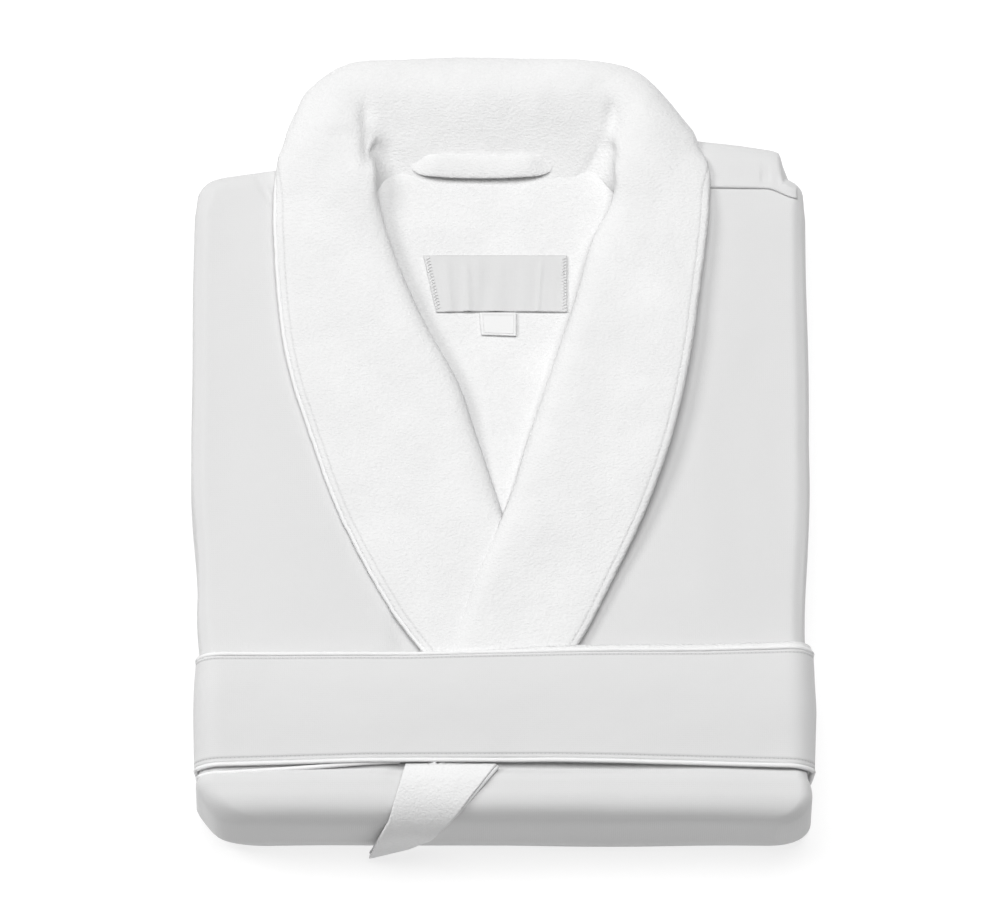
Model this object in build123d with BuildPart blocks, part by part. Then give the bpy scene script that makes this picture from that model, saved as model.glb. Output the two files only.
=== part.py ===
"""Folded shawl-collar bathrobe with its sash belt wrapped round the bundle.

Millimetres. +X is the wearer's left, +Y points to the collar, +Z is up.
The origin is on the resting surface, under the centre of the bounding box.
Left and right in the names are the wearer's: the robe lies on its back.
"""

import math
import os

from build123d import *

# Folded bundle
HALF_WIDTH = 164.6
FRONT_Y = -212.2
SHOULDER_Y = 151.0
NECK_Y = 164.0
BACK_FOLD_Y = 147.0
HEM_Y = -98.0
TOP_Z = 61.0
CORNER_R = 12.0
FOLD_R = 22.0

# Plies: each panel is drawn as one pressed ply, and four lie on each other
PLY = 3.8
PLY_PITCH = 4.0
POCKET_THICK = 2.0
HEM_TOP_Z = POCKET_THICK + 8 * PLY_PITCH
LAP_EDGE_X = -50.0
GAP = 0.1

# Belt
BELT_REAR_Y = -122.8
BELT_FRONT_Y = -189.2
BELT_PIPING = 2.2
BELT_THICK = 3.6
BELT_HALF_WIDTH = HALF_WIDTH + 0.4 + BELT_THICK
BELT_TOP_Z = 69.6
BELT_CORNER_R = CORNER_R + 0.4 + BELT_THICK
BELT_FACE = 1.3
BELT_BACKING = 1.1
LIFT = BELT_THICK + 0.4
RAMP_Y = (BELT_REAR_Y + 3.8, BELT_REAR_Y + 15.8)

# Belt tail
TAIL_HINGE_Y = BELT_FRONT_Y - 2.2
TAIL_TOP_Z = 65.8
TAIL_FRONT_Y = -216.0
TAIL_TERRY = 2.0
TAIL_SHELL = 1.1
TAIL_THICK = TAIL_TERRY + TAIL_SHELL + GAP
TAIL_LEAN_DEG = 20.0

# Collar
COLLAR_TOP_Z = 65.6
UNDER_COLLAR = 1.0
COLLAR_BACK_Y = 216.0
COLLAR_JOIN_Y = NECK_Y + 0.4
COLLAR_ROLL_Z = 63.0
COLLAR_FALL_Z = 11.0
PIPING = 2.2

# Neck fittings
LINING_Z = TOP_Z - 2 * PLY_PITCH
LABEL_SIZE = (76.0, 32.0, 1.0)
LABEL_CENTRE = (-3.5, 91.2)
TAB_SIZE = (20.0, 13.4, 0.8)
TAB_HINGE = (74.0, LINING_Z + 0.8)
LOOP_SPAN = 77.0
LOOP_CENTRE = (-10.5, 157.0)
LOOP_WIDTH = 12.0
LOOP_STRAP = 2.4
LOOP_TOP_Z = LINING_Z + 9.4
LOOP_HINGE_Z = LINING_Z + 1.8

# Lapel edges in plan, from the shoulder down to the belt
LEFT_OUTER = [(104, 164), (111.5, 140), (107, 95), (95, 40), (80, -15), (64, -70), (41, -118)]
LEFT_OUTER += [(6, -168), (-32, -187)]
LEFT_ROLL = [(63, 164), (49, 118), (30, 50), (1, -45), (-28, -120), (-43, -186)]
RIGHT_OUTER = [(-117, 164), (-123, 135), (-120, 77), (-104, 5), (-85, -48), (-59, -98), (-35.5, -132)]
RIGHT_ROLL = [(-70, 164), (-65, 135), (-47, 77), (-22, 30), (0, -45)]
NECK_CORNERS = [(-117, 165), (-101, 194), (-62, 212), (0, 215.7), (46, 214.2), (87, 195), (104, 165)]

os.makedirs("parts", exist_ok=True)


def save(part, name):
    """Label a finished piece and write it to its own file."""
    part.label = name
    export_step(part, f"parts/{name}.step")


def envelope():
    """Rounded outer form of the folded bundle, lifted where the belt passes under it."""
    split_y = sum(RAMP_Y) / 2
    zones = ((FRONT_Y, split_y, LIFT), (split_y, NECK_Y + 8, POCKET_THICK))
    with BuildPart() as form:
        for low_y, high_y, low_z in zones:
            with BuildSketch(Plane.XZ.offset(-high_y)):
                with Locations((0, (low_z + TOP_Z) / 2)):
                    RectangleRounded(2 * HALF_WIDTH, TOP_Z - low_z, CORNER_R)
            extrude(amount=high_y - low_y)
        with BuildSketch():
            with Locations((0, (FRONT_Y + NECK_Y + 8) / 2)):
                RectangleRounded(2 * HALF_WIDTH, NECK_Y + 8 - FRONT_Y, CORNER_R)
        extrude(amount=TOP_Z, mode=Mode.INTERSECT)
    return form.part


def folded_ply(index, low_x, high_x, end_y):
    """One ply of the roll fold: chest, front fold, seat, back fold and tucked-in hem."""
    inset = index * PLY_PITCH + PLY / 2
    front = FRONT_Y + inset
    seat_z = POCKET_THICK + inset
    hem_z = HEM_TOP_Z - inset
    back_r = (hem_z - seat_z) / 2 - 0.05
    points = [
        (end_y, TOP_Z - inset),
        (front, TOP_Z - inset),
        (front, LIFT + inset),
        (RAMP_Y[0], LIFT + inset),
        (RAMP_Y[1], seat_z),
        (BACK_FOLD_Y - inset, seat_z),
        (BACK_FOLD_Y - inset, hem_z),
        (HEM_Y, hem_z),
    ]
    radii = [FOLD_R - inset, FOLD_R - inset, 10, 10, back_r, back_r]
    with BuildPart() as ply:
        with BuildSketch(Plane.YZ.offset(low_x)):
            with BuildLine():
                FilletPolyline(*points, radius=radii)
            trace(line_width=PLY)
        extrude(amount=high_x - low_x)
    return ply.part


def chest_prism(points, index):
    """A prism as deep as the chest ply of one layer, over the given plan outline."""
    top = TOP_Z - index * PLY_PITCH
    with BuildPart() as prism:
        with BuildSketch(Plane.XY.offset(top - PLY - GAP)):
            with BuildLine():
                Polyline(*points, close=True)
            make_face()
        extrude(amount=PLY + 2 * GAP)
    return prism.part


# Plan outlines cut out of the chest ply of the two front panels
LAP_END_Y = -178
UNDER_EDGE_X = LAP_EDGE_X - 2
LEFT_NECKLINE = [(84, 175), (-36, -150), (LAP_EDGE_X - 1, LAP_END_Y), (LAP_EDGE_X - 1, 175)]
RIGHT_NECKLINE = [(-90, 175), (-64, 60), (2, -60), (2.2, -54), (84, 175)]
UNDER_LAP = [(83.5, 175), (-36.5, -150), (UNDER_EDGE_X, LAP_END_Y), (UNDER_EDGE_X, -230)]
UNDER_LAP += [(130, -230), (130, 175)]


def left_front(index):
    """The over panel: it reaches from the lap edge to the wearer's left side."""
    with BuildPart() as panel:
        add(folded_ply(index, LAP_EDGE_X, HALF_WIDTH, SHOULDER_Y))
        add(chest_prism(LEFT_NECKLINE, index), mode=Mode.SUBTRACT)
        add(envelope(), mode=Mode.INTERSECT)
    return panel.part


def right_front(index):
    """The under panel: it runs under the lapels up to the edge of the over panel."""
    chest_low_z = TOP_Z - index * PLY_PITCH - PLY - GAP
    with BuildPart() as panel:
        add(folded_ply(index, -HALF_WIDTH, 10, SHOULDER_Y))
        with BuildSketch():
            with Locations((LAP_EDGE_X - 0.5, -30)):
                Rectangle(80, 400, align=(Align.MIN, Align.CENTER))
        extrude(amount=chest_low_z, mode=Mode.SUBTRACT)
        add(chest_prism(RIGHT_NECKLINE, index), mode=Mode.SUBTRACT)
        add(chest_prism(UNDER_LAP, index), mode=Mode.SUBTRACT)
        add(envelope(), mode=Mode.INTERSECT)
    return panel.part


def back_panel(index, left_reach):
    """A full-width back ply. left_reach is how far it shows past the wearer's left shoulder."""
    neck_edge = 105.0
    with BuildPart() as panel:
        add(folded_ply(index, -HALF_WIDTH, HALF_WIDTH, NECK_Y + 5))
        with BuildSketch():
            with BuildLine():
                Polyline(
                    (-200, SHOULDER_Y),
                    (-neck_edge, SHOULDER_Y),
                    (-neck_edge, NECK_Y),
                    (neck_edge + 3, NECK_Y),
                    (neck_edge + 3, SHOULDER_Y + left_reach),
                    (HALF_WIDTH - 14, SHOULDER_Y + left_reach),
                    (HALF_WIDTH - 10, SHOULDER_Y),
                    (200, SHOULDER_Y),
                    (200, 230),
                    (-200, 230),
                    close=True,
                )
            make_face()
        extrude(amount=TOP_Z, mode=Mode.SUBTRACT)
        add(envelope(), mode=Mode.INTERSECT)
    return panel.part


def sleeve_shell(side):
    """Flattened sleeve folded behind the back: a wide flat tube, open at the cuff."""
    low_z, high_z = HEM_TOP_Z + 1.6, TOP_Z - 4 * PLY_PITCH - 0.4
    with BuildPart() as sleeve:
        with BuildSketch(Plane.XY.offset(low_z)):
            with Locations((side * 78, -5)):
                RectangleRounded(144, 250, 14)
        extrude(amount=high_z - low_z)
        with BuildSketch(Plane.XY.offset(low_z + 1.5)):
            with Locations((side * 78, -8)):
                RectangleRounded(138, 250, 11)
        extrude(amount=high_z - low_z - 3.0, mode=Mode.SUBTRACT)
    return sleeve.part


def sleeve_lining(side):
    """Terry tube that fills the sleeve."""
    low_z, high_z = HEM_TOP_Z + 1.6, TOP_Z - 4 * PLY_PITCH - 0.4
    with BuildPart() as lining:
        with BuildSketch(Plane.XY.offset(low_z + 1.5 + GAP)):
            with Locations((side * 78, -8.5)):
                RectangleRounded(137.6, 248.6, 10.8)
        extrude(amount=high_z - low_z - 3.0 - 2 * GAP)
    return lining.part


def cuff(side):
    """Turned-back terry cuff at the end of the sleeve, several plies thick."""
    low_z, high_z = 24.0, TOP_Z - 4 * PLY_PITCH - 0.4
    with BuildPart() as turned:
        with BuildSketch(Plane.XY.offset(low_z)):
            with Locations((side * 78, -165)):
                RectangleRounded(146, 55, 8)
        extrude(amount=high_z - low_z)
        fillet(turned.edges().filter_by(Axis.Z, reverse=True).group_by(Axis.Z)[-1], 4)
        fillet(turned.edges().filter_by(Axis.Z, reverse=True).group_by(Axis.Z)[0], 4)
    return turned.part


def pocket(side):
    """Patch pocket on the hip, which faces down once the skirt is folded under."""
    with BuildPart() as patch:
        with BuildSketch():
            with Locations((side * 84, -16)):
                RectangleRounded(132, 156, 10)
        extrude(amount=POCKET_THICK)
    return patch.part


def left_lapel(low_z, high_z, seam):
    """The over lapel, between its outer edge and its roll. seam is the width left at the edge."""
    with BuildPart() as half:
        with BuildSketch(Plane.XY.offset(low_z)):
            with BuildLine():
                edge = Spline(*LEFT_OUTER)
                fold = Spline(*LEFT_ROLL)
                Line(edge @ 0, fold @ 0)
                Line(edge @ 1, fold @ 1)
            make_face()
        extrude(amount=high_z - low_z)
        add(edge_cord(LEFT_OUTER, low_z - 1, high_z + 1, seam), mode=Mode.SUBTRACT)
    return half.part


def edge_cord(points, low_z, high_z, width):
    """A narrow strip along a plan curve: the piping sewn into a collar edge."""
    with BuildPart() as cord:
        with BuildSketch(Plane.XY.offset(low_z)):
            with BuildLine():
                Spline(*points)
            trace(line_width=width)
        extrude(amount=high_z - low_z)
    return cord.part


def right_lapel(low_z, high_z, seam):
    """The under lapel: it stops where the over lapel's roll crosses it."""
    with BuildPart() as half:
        with BuildSketch(Plane.XY.offset(low_z)):
            with BuildLine():
                edge = Spline(*RIGHT_OUTER)
                fold = Spline(*RIGHT_ROLL)
                Line(edge @ 0, fold @ 0)
                Polyline(fold @ 1, (-29, -120), edge @ 1)
            make_face()
        extrude(amount=high_z - low_z)
        add(edge_cord(RIGHT_OUTER, low_z - 1, high_z + 1, seam), mode=Mode.SUBTRACT)
    return half.part


def collar_roll(low_z, profile):
    """Back of the collar behind the neck: a plan outline met with a side profile."""
    with BuildPart() as roll:
        with BuildSketch(Plane.YZ.offset(-130)):
            with BuildLine():
                profile()
            make_face()
        extrude(amount=260)
        with BuildSketch(Plane.XY.offset(low_z)):
            with BuildLine():
                rim = Spline(*NECK_CORNERS)
                Polyline(rim @ 1, (104, COLLAR_JOIN_Y), (-117, COLLAR_JOIN_Y), rim @ 0)
            make_face()
        extrude(amount=COLLAR_ROLL_Z + 5, mode=Mode.INTERSECT)
    return roll.part


def roll_profile():
    """Side profile: up from the neck seam, over the roll and down the fall."""
    crest = (192, COLLAR_ROLL_Z)
    Line((COLLAR_JOIN_Y, COLLAR_FALL_Z), (COLLAR_JOIN_Y, LINING_Z + 0.3))
    Spline(
        (COLLAR_JOIN_Y, LINING_Z + 0.3),
        crest,
        (COLLAR_BACK_Y, 47),
        (COLLAR_BACK_Y - 5, COLLAR_FALL_Z),
    )
    Line((COLLAR_BACK_Y - 5, COLLAR_FALL_Z), (COLLAR_JOIN_Y, COLLAR_FALL_Z))


def belt_ring(low_y, high_y, depth, thick):
    """A band round the bundle. depth is how far its outer face lies inside the belt's own."""
    half = BELT_HALF_WIDTH - depth
    height = BELT_TOP_Z - 2 * depth
    radius = BELT_CORNER_R - depth
    with BuildPart() as ring:
        with BuildSketch(Plane.XZ.offset(-high_y)):
            with Locations((0, BELT_TOP_Z / 2)):
                RectangleRounded(2 * half, height, radius)
                RectangleRounded(2 * (half - thick), height - 2 * thick, radius - thick, mode=Mode.SUBTRACT)
        extrude(amount=high_y - low_y)
    return ring.part


def tail_strip(start, thick):
    """The tail's fall over the front fold. start is how far in from its outer face it begins."""
    middle = start + thick / 2
    front = TAIL_FRONT_Y + middle
    with BuildPart() as strip:
        with BuildSketch(Plane.YZ.offset(-80)):
            with BuildLine():
                FilletPolyline(
                    (TAIL_HINGE_Y - 0.2, TAIL_TOP_Z + TAIL_THICK / 2 - middle),
                    (front, TAIL_TOP_Z - 4 + TAIL_THICK / 2 - middle),
                    (front, 2.0),
                    radius=20 - middle,
                )
            trace(line_width=thick)
        extrude(amount=90)
    return strip.part


# The tail's edges as they run down from the belt, across the leaning cut plane
TAIL_LEFT_EDGE = [(-51, 4), (-57, -20), (-60, -32), (-67, -47), (-70, -62)]
TAIL_RIGHT_EDGE = [(-2.5, 4), (-12, -11), (-24, -26), (-38, -40), (-55, -50), (-64, -62)]


def tail_prism(edge_inset, only_edge):
    """Outline of the tail, extruded along a line that leans back from upright."""
    lean = math.radians(TAIL_LEAN_DEG)
    cut = Plane(
        origin=(0, BELT_FRONT_Y, TAIL_TOP_Z),
        x_dir=(1, 0, 0),
        z_dir=(0, -math.sin(lean), math.cos(lean)),
    )
    inner = [(x - edge_inset, y) for x, y in TAIL_RIGHT_EDGE]
    border = TAIL_RIGHT_EDGE if only_edge else TAIL_LEFT_EDGE
    shift = GAP if only_edge else 0.0
    with BuildPart() as prism:
        with BuildSketch(cut):
            with BuildLine():
                near = Spline(*[(x + shift, y) for x, y in inner])
                far = Spline(*border)
                Line(near @ 0, far @ 0)
                Line(near @ 1, far @ 1)
            make_face()
        extrude(amount=90, both=True)
    return prism.part


def tail_ply(start, thick, edge_inset, only_edge):
    """One ply of the tail, or its piped edge."""
    with BuildPart() as ply:
        add(tail_strip(start, thick))
        add(tail_prism(edge_inset, only_edge), mode=Mode.INTERSECT)
    return ply.part


def hanger_loop():
    """Neck loop: a flat strap bowed over the lining on two tapered ends."""
    x0 = LOOP_CENTRE[0] - LOOP_SPAN / 2 + LOOP_STRAP / 2
    x1 = LOOP_CENTRE[0] + LOOP_SPAN / 2 - LOOP_STRAP / 2
    strap_z = LOOP_TOP_Z - LOOP_STRAP / 2
    hinge_y = LOOP_CENTRE[1]
    end_r = 1.4
    with BuildPart() as loop:
        with BuildSketch(Plane.XZ.offset(-hinge_y)):
            with BuildLine():
                FilletPolyline(
                    (x0, LOOP_HINGE_Z - end_r),
                    (x0, strap_z),
                    (x1, strap_z),
                    (x1, LOOP_HINGE_Z - end_r),
                    radius=5,
                )
            trace(line_width=LOOP_STRAP)
        extrude(amount=LOOP_WIDTH / 2, both=True)
        with BuildSketch(Plane.YZ.offset(x0 - 5)):
            with BuildLine():
                Polyline(
                    (hinge_y - LOOP_WIDTH / 2, LOOP_TOP_Z - LOOP_STRAP),
                    (hinge_y - end_r, LOOP_HINGE_Z),
                    (hinge_y + end_r, LOOP_HINGE_Z),
                    (hinge_y + LOOP_WIDTH / 2, LOOP_TOP_Z - LOOP_STRAP),
                    (hinge_y + LOOP_WIDTH / 2, LOOP_TOP_Z),
                    (hinge_y - LOOP_WIDTH / 2, LOOP_TOP_Z),
                    close=True,
                )
            make_face()
            with Locations((hinge_y, LOOP_HINGE_Z)):
                Circle(end_r)
        extrude(amount=LOOP_SPAN + 10, mode=Mode.INTERSECT)
    return loop.part


def flat_patch(centre, size, low_z, radius):
    """A thin rounded rectangle: a label, a tab or a strap."""
    with BuildPart() as patch:
        with BuildSketch(Plane.XY.offset(low_z)):
            with Locations(centre):
                RectangleRounded(size[0], size[1], radius)
        extrude(amount=size[2])
    return patch.part


# Body panels
save(left_front(0), "left_front_shell")
save(left_front(1), "left_front_lining")
save(right_front(0), "right_front_shell")
save(right_front(1), "right_front_lining")
save(back_panel(2, 0.0), "back_lining")
save(back_panel(3, 17.0), "back_shell")

# Sleeves, cuffs, pockets and belt loops, one of each on each side
for side, word in ((1, "left"), (-1, "right")):
    save(sleeve_shell(side), f"{word}_sleeve_shell")
    save(sleeve_lining(side), f"{word}_sleeve_lining")
    save(cuff(side), f"{word}_cuff")
    save(pocket(side), f"{word}_pocket")
    save(flat_patch((side * 156.5, -65), (8, 70, 1.8), 38, 2), f"{word}_belt_loop")

# Shawl collar: lapels and the roll behind the neck, with its under side and piping
under_low_z = TOP_Z + GAP
lapel_low_z = under_low_z + UNDER_COLLAR + GAP
top_seam = PIPING + 2 * GAP
under_seam = top_seam + 2.0
save(left_lapel(lapel_low_z, COLLAR_TOP_Z, top_seam), "left_lapel")
save(left_lapel(under_low_z, under_low_z + UNDER_COLLAR, under_seam), "left_under_collar")
save(right_lapel(lapel_low_z, COLLAR_TOP_Z, top_seam), "right_lapel")
save(right_lapel(under_low_z, under_low_z + UNDER_COLLAR, under_seam), "right_under_collar")
save(edge_cord(LEFT_OUTER, lapel_low_z, COLLAR_TOP_Z - 0.4, PIPING), "left_collar_piping")
save(edge_cord(RIGHT_OUTER, lapel_low_z, COLLAR_TOP_Z - 0.4, PIPING), "right_collar_piping")
save(collar_roll(COLLAR_FALL_Z, roll_profile), "collar_back")

# Neck fittings
save(flat_patch(LABEL_CENTRE, LABEL_SIZE, LINING_Z, 0.8), "neck_label")
save(flat_patch((-125, 45), (30, 50, 0.8), HEM_TOP_Z + 0.4, 1), "care_label")
tab_centre = (LABEL_CENTRE[0] + 1.6, TAB_HINGE[0] - 0.1 - TAB_SIZE[1] / 2)
save(flat_patch(tab_centre, TAB_SIZE, TAB_HINGE[1] - TAB_SIZE[2] / 2, 0.8), "size_tab")
save(hanger_loop(), "hanger_loop")

# Belt wrapped round the bundle
band = (BELT_FRONT_Y + BELT_PIPING + GAP, BELT_REAR_Y - BELT_PIPING - GAP)
inner_depth = BELT_FACE + BELT_BACKING + 2 * GAP
save(belt_ring(*band, 0, BELT_FACE), "belt_face")
save(belt_ring(*band, BELT_FACE + GAP, BELT_BACKING), "belt_backing")
save(belt_ring(*band, inner_depth, BELT_THICK - inner_depth), "belt_inner_turn")
save(belt_ring(BELT_FRONT_Y, BELT_FRONT_Y + BELT_PIPING, 0.2, 2.6), "belt_front_piping")
save(belt_ring(BELT_REAR_Y - BELT_PIPING, BELT_REAR_Y, 0.2, 2.6), "belt_rear_piping")

with BuildPart() as inner_piping:
    add(belt_ring(BELT_FRONT_Y - 2.0, BELT_FRONT_Y - GAP, 1.4, 2.2))
    with BuildSketch(Plane.XY):
        with Locations((-66, BELT_FRONT_Y)):
            Rectangle(400, 40, align=(Align.MIN, Align.CENTER))
    extrude(amount=BELT_TOP_Z, mode=Mode.SUBTRACT)
save(inner_piping.part, "belt_inner_piping")

# Belt tail, terry side up
save(tail_ply(0, TAIL_TERRY, BELT_PIPING, False), "tail_terry")
save(tail_ply(TAIL_TERRY + GAP, TAIL_SHELL, BELT_PIPING, False), "tail_shell")
save(tail_ply(0, TAIL_THICK, BELT_PIPING, True), "tail_piping")
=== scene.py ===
"""Looks of a folded shawl-collar bathrobe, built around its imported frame.

The robe lies on its back with the collar towards +Y. Left and right are the wearer's, so the
wearer's left is at +X. Shapes are worked out in millimetres and stored in metres.
"""

import logging
import math
from dataclasses import dataclass, field, replace
from enum import Enum
from typing import ClassVar, Sequence

import bpy
import numpy as np
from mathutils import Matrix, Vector, noise


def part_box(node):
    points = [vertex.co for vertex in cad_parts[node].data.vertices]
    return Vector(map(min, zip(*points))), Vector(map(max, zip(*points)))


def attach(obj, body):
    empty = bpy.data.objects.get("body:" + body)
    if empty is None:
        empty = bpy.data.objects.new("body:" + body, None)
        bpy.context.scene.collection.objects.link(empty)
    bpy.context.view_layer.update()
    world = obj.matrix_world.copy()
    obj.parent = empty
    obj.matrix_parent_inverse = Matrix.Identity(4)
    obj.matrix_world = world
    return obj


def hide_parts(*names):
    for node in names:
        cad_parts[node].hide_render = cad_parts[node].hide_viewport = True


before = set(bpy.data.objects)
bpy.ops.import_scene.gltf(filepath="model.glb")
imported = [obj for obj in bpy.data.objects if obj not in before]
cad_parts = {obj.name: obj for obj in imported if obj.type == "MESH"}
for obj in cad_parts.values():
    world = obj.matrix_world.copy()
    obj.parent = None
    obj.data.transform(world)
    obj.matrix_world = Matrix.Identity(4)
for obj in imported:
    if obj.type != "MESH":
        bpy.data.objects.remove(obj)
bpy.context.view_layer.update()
MM = 0.001
log = logging.getLogger("bathrobe")

Grid = np.ndarray
Point = tuple[float, float, float]
Offsets = Sequence[tuple[float, float]]
Sections = Sequence[Sequence[Point]]
Faces = list[tuple[int, ...]]
Socket = bpy.types.NodeSocket
Piece = bpy.types.Object

WELD_GAP = 0.00002
"""Distance in metres below which a sheet's places are joined."""

"""Least width in metres that a sheet is declared with."""

THREAD_SIDES = 6
"""Sides of a run of thread."""

FINE = 6
"""How many places a spline is read at for each one that it returns."""


class Side(Enum):
    """Side of the wearer, with its sign along X."""

    LEFT = 1
    RIGHT = -1


def cad(node: str) -> tuple[np.ndarray, np.ndarray]:
    """Box of a CAD node.

    Args:
        node: Name of the node.

    Returns:
        Its lowest and its highest corner, in millimetres.
    """
    low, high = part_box(node)
    return np.array(low) / MM, np.array(high) / MM


def smooth(value: Grid | float, low: float, high: float) -> Grid:
    """Smooth step from 0 at low to 1 at high.

    Args:
        value: Where to read the step.
        low: Value at which it leaves 0.
        high: Value at which it reaches 1.

    Returns:
        The step, from 0 to 1.
    """
    part = np.clip((np.asarray(value, float) - low) / (high - low), 0.0, 1.0)
    return part * part * (3.0 - 2.0 * part)


def unrest(points: Grid, period: float, seed: float, stretch: Point = (1.0, 1.0, 1.0)) -> Grid:
    """Slow uneven waves, as in cloth that has been pressed and handled.

    Args:
        points: Places in millimetres, with x, y, z last.
        period: Size of a wave in millimetres.
        seed: Shift that makes each piece differ.
        stretch: How many times longer the waves are along each axis.

    Returns:
        One value from about -1 to 1 for each place.
    """
    flat = points.reshape(-1, 3) / (period * np.array(stretch)) + seed
    values = [noise.noise(Vector(p)) for p in flat]
    return np.array(values).reshape(points.shape[:-1])


def spline(points: Sequence, count: int) -> Grid:
    """Smooth curve through points, or through rows of points, evenly spaced by length.

    Args:
        points: The points, or the rows of points, that the curve passes through.
        count: How many places to read on it.

    Returns:
        The places, one a row.
    """
    knots = np.asarray(points, float)
    flat = knots.reshape(len(knots), -1)
    wide = np.sqrt(mean_gaps(knots))[:, None]
    slope = np.diff(flat, axis=0) / wide
    inner = (slope[:-1] * wide[1:] + slope[1:] * wide[:-1]) / (wide[1:] + wide[:-1])
    tangent = np.vstack([slope[:1], inner, slope[-1:]])
    at = np.concatenate([[0], np.cumsum(wide[:, 0])])
    fine = np.linspace(0, at[-1], count * FINE)
    part = np.clip(np.searchsorted(at, fine, "right") - 1, 0, len(wide) - 1)
    u = ((fine - at[part]) / wide[part, 0])[:, None]
    path = flat[part] * (1 + 2 * u) * (1 - u) ** 2 + flat[part + 1] * u**2 * (3 - 2 * u)
    path += wide[part] * (tangent[part] * u * (1 - u) ** 2 + tangent[part + 1] * u**2 * (u - 1))
    path = path.reshape(-1, *knots.shape[1:])
    return respace(path, count)


def mean_gaps(knots: Grid) -> Grid:
    """Mean distance between each row of points and the next."""
    step = np.diff(knots, axis=0).reshape(len(knots) - 1, -1, knots.shape[-1])
    return np.linalg.norm(step, axis=2).mean(axis=1)


def respace(path: Grid, count: int) -> Grid:
    """The same path with evenly spaced places.

    Args:
        path: Places, or rows of places, along the path.
        count: How many places to return.

    Returns:
        The new places.
    """
    length = np.concatenate([[0], np.cumsum(mean_gaps(path))])
    at = np.linspace(0, length[-1], count)
    flat = path.reshape(len(path), -1)
    spaced = np.column_stack([np.interp(at, length, k) for k in flat.T])
    return spaced.reshape(count, *path.shape[1:])


def read_edge(edge: Offsets, at: Grid | float) -> Grid:
    """Read an edge, given as pairs of place and value, at some places."""
    places, values = np.array(edge, float).T
    return np.interp(at, places, values)


def lengths(path: Grid) -> Grid:
    """Distance along a path up to each of its places."""
    return np.concatenate([[0], np.cumsum(np.linalg.norm(np.diff(path, axis=0), axis=1))])


def normals(grid: Grid) -> Grid:
    """Unit normals of a grid, by the right-hand rule over rows and columns.

    Args:
        grid: Rows and columns of places.

    Returns:
        One normal for each place.
    """
    across = np.gradient(grid, axis=0)
    along = np.gradient(grid, axis=1)
    out = np.cross(across, along)
    size = np.linalg.norm(out, axis=2, keepdims=True)
    return out / np.maximum(size, 1e-9)


# ---------------------------------------------------------------------------------------------
# Finishes
# ---------------------------------------------------------------------------------------------


BAND_TURN = 6.28
"""Phase of one band of a wave texture at scale 1."""


@dataclass
class NodeBench:
    """A short way to wire one material's nodes."""

    tree: bpy.types.NodeTree

    def add(self, kind: str, **values: object) -> bpy.types.Node:
        """Add a node.

        Args:
            kind: Type name of the node.
            values: Its settings by name.

        Returns:
            The node.
        """
        node = self.tree.nodes.new(kind)
        for name, value in values.items():
            setattr(node, name, value)
        return node

    def link(self, source: Socket, target: Socket) -> None:
        """Join two sockets."""
        self.tree.links.new(source, target)

    def math(self, operation: str, first: Socket | float, second: Socket | float = 0.0) -> Socket:
        """Wire one sum.

        Args:
            operation: Name of the Math node's operation.
            first: First number or socket.
            second: Second number or socket.

        Returns:
            The socket with the result.
        """
        node = self.add("ShaderNodeMath", operation=operation)
        for place, value in enumerate((first, second)):
            if isinstance(value, Socket):
                self.link(value, node.inputs[place])
            else:
                node.inputs[place].default_value = value
        return node.outputs[0]

    def noise(self, where: Socket, scale: float, detail: float) -> Socket:
        """Wire a noise texture.

        Args:
            where: Coordinates.
            scale: Waves to a metre.
            detail: Octaves.

        Returns:
            The socket with its value.
        """
        node = self.add("ShaderNodeTexNoise")
        node.inputs["Scale"].default_value = scale
        node.inputs["Detail"].default_value = detail
        self.link(where, node.inputs["Vector"])
        return node.outputs["Fac"]

    def stretched(self, where: Socket, scale: Point) -> Socket:
        """Wire a mapping that stretches coordinates.

        Args:
            where: Coordinates.
            scale: Factor on each axis.

        Returns:
            The stretched coordinates.
        """
        node = self.add("ShaderNodeMapping")
        node.inputs["Scale"].default_value = scale
        self.link(where, node.inputs["Vector"])
        return node.outputs["Vector"]

    def bands(self, where: Socket, axis: str, pitch: float) -> Socket:
        """Wire soft bands.

        Args:
            where: Coordinates.
            axis: Axis that they follow one another along.
            pitch: Distance from one band to the next in millimetres.

        Returns:
            The socket with their height.
        """
        node = self.add("ShaderNodeTexWave", wave_type="BANDS", bands_direction=axis)
        node.inputs["Scale"].default_value = 1000.0 / pitch / BAND_TURN
        self.link(where, node.inputs["Vector"])
        return node.outputs["Fac"]

    def centred(self, value: Socket, middle: float, reach: float) -> Socket:
        """Wire a value's distance from its middle, times a reach."""
        return self.math("MULTIPLY", self.math("SUBTRACT", value, middle), reach)

    def bump(self, height: Socket, depth: float, under: Socket | None = None) -> Socket:
        """Wire a bump.

        Args:
            height: Socket with the height.
            depth: Height of the bump in metres.
            under: Normal that this one is laid on.

        Returns:
            The socket with the normal.
        """
        node = self.add("ShaderNodeBump")
        node.inputs["Strength"].default_value = 1.0
        node.inputs["Distance"].default_value = depth
        self.link(height, node.inputs["Height"])
        if under is not None:
            self.link(under, node.inputs["Normal"])
        return node.outputs["Normal"]


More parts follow.
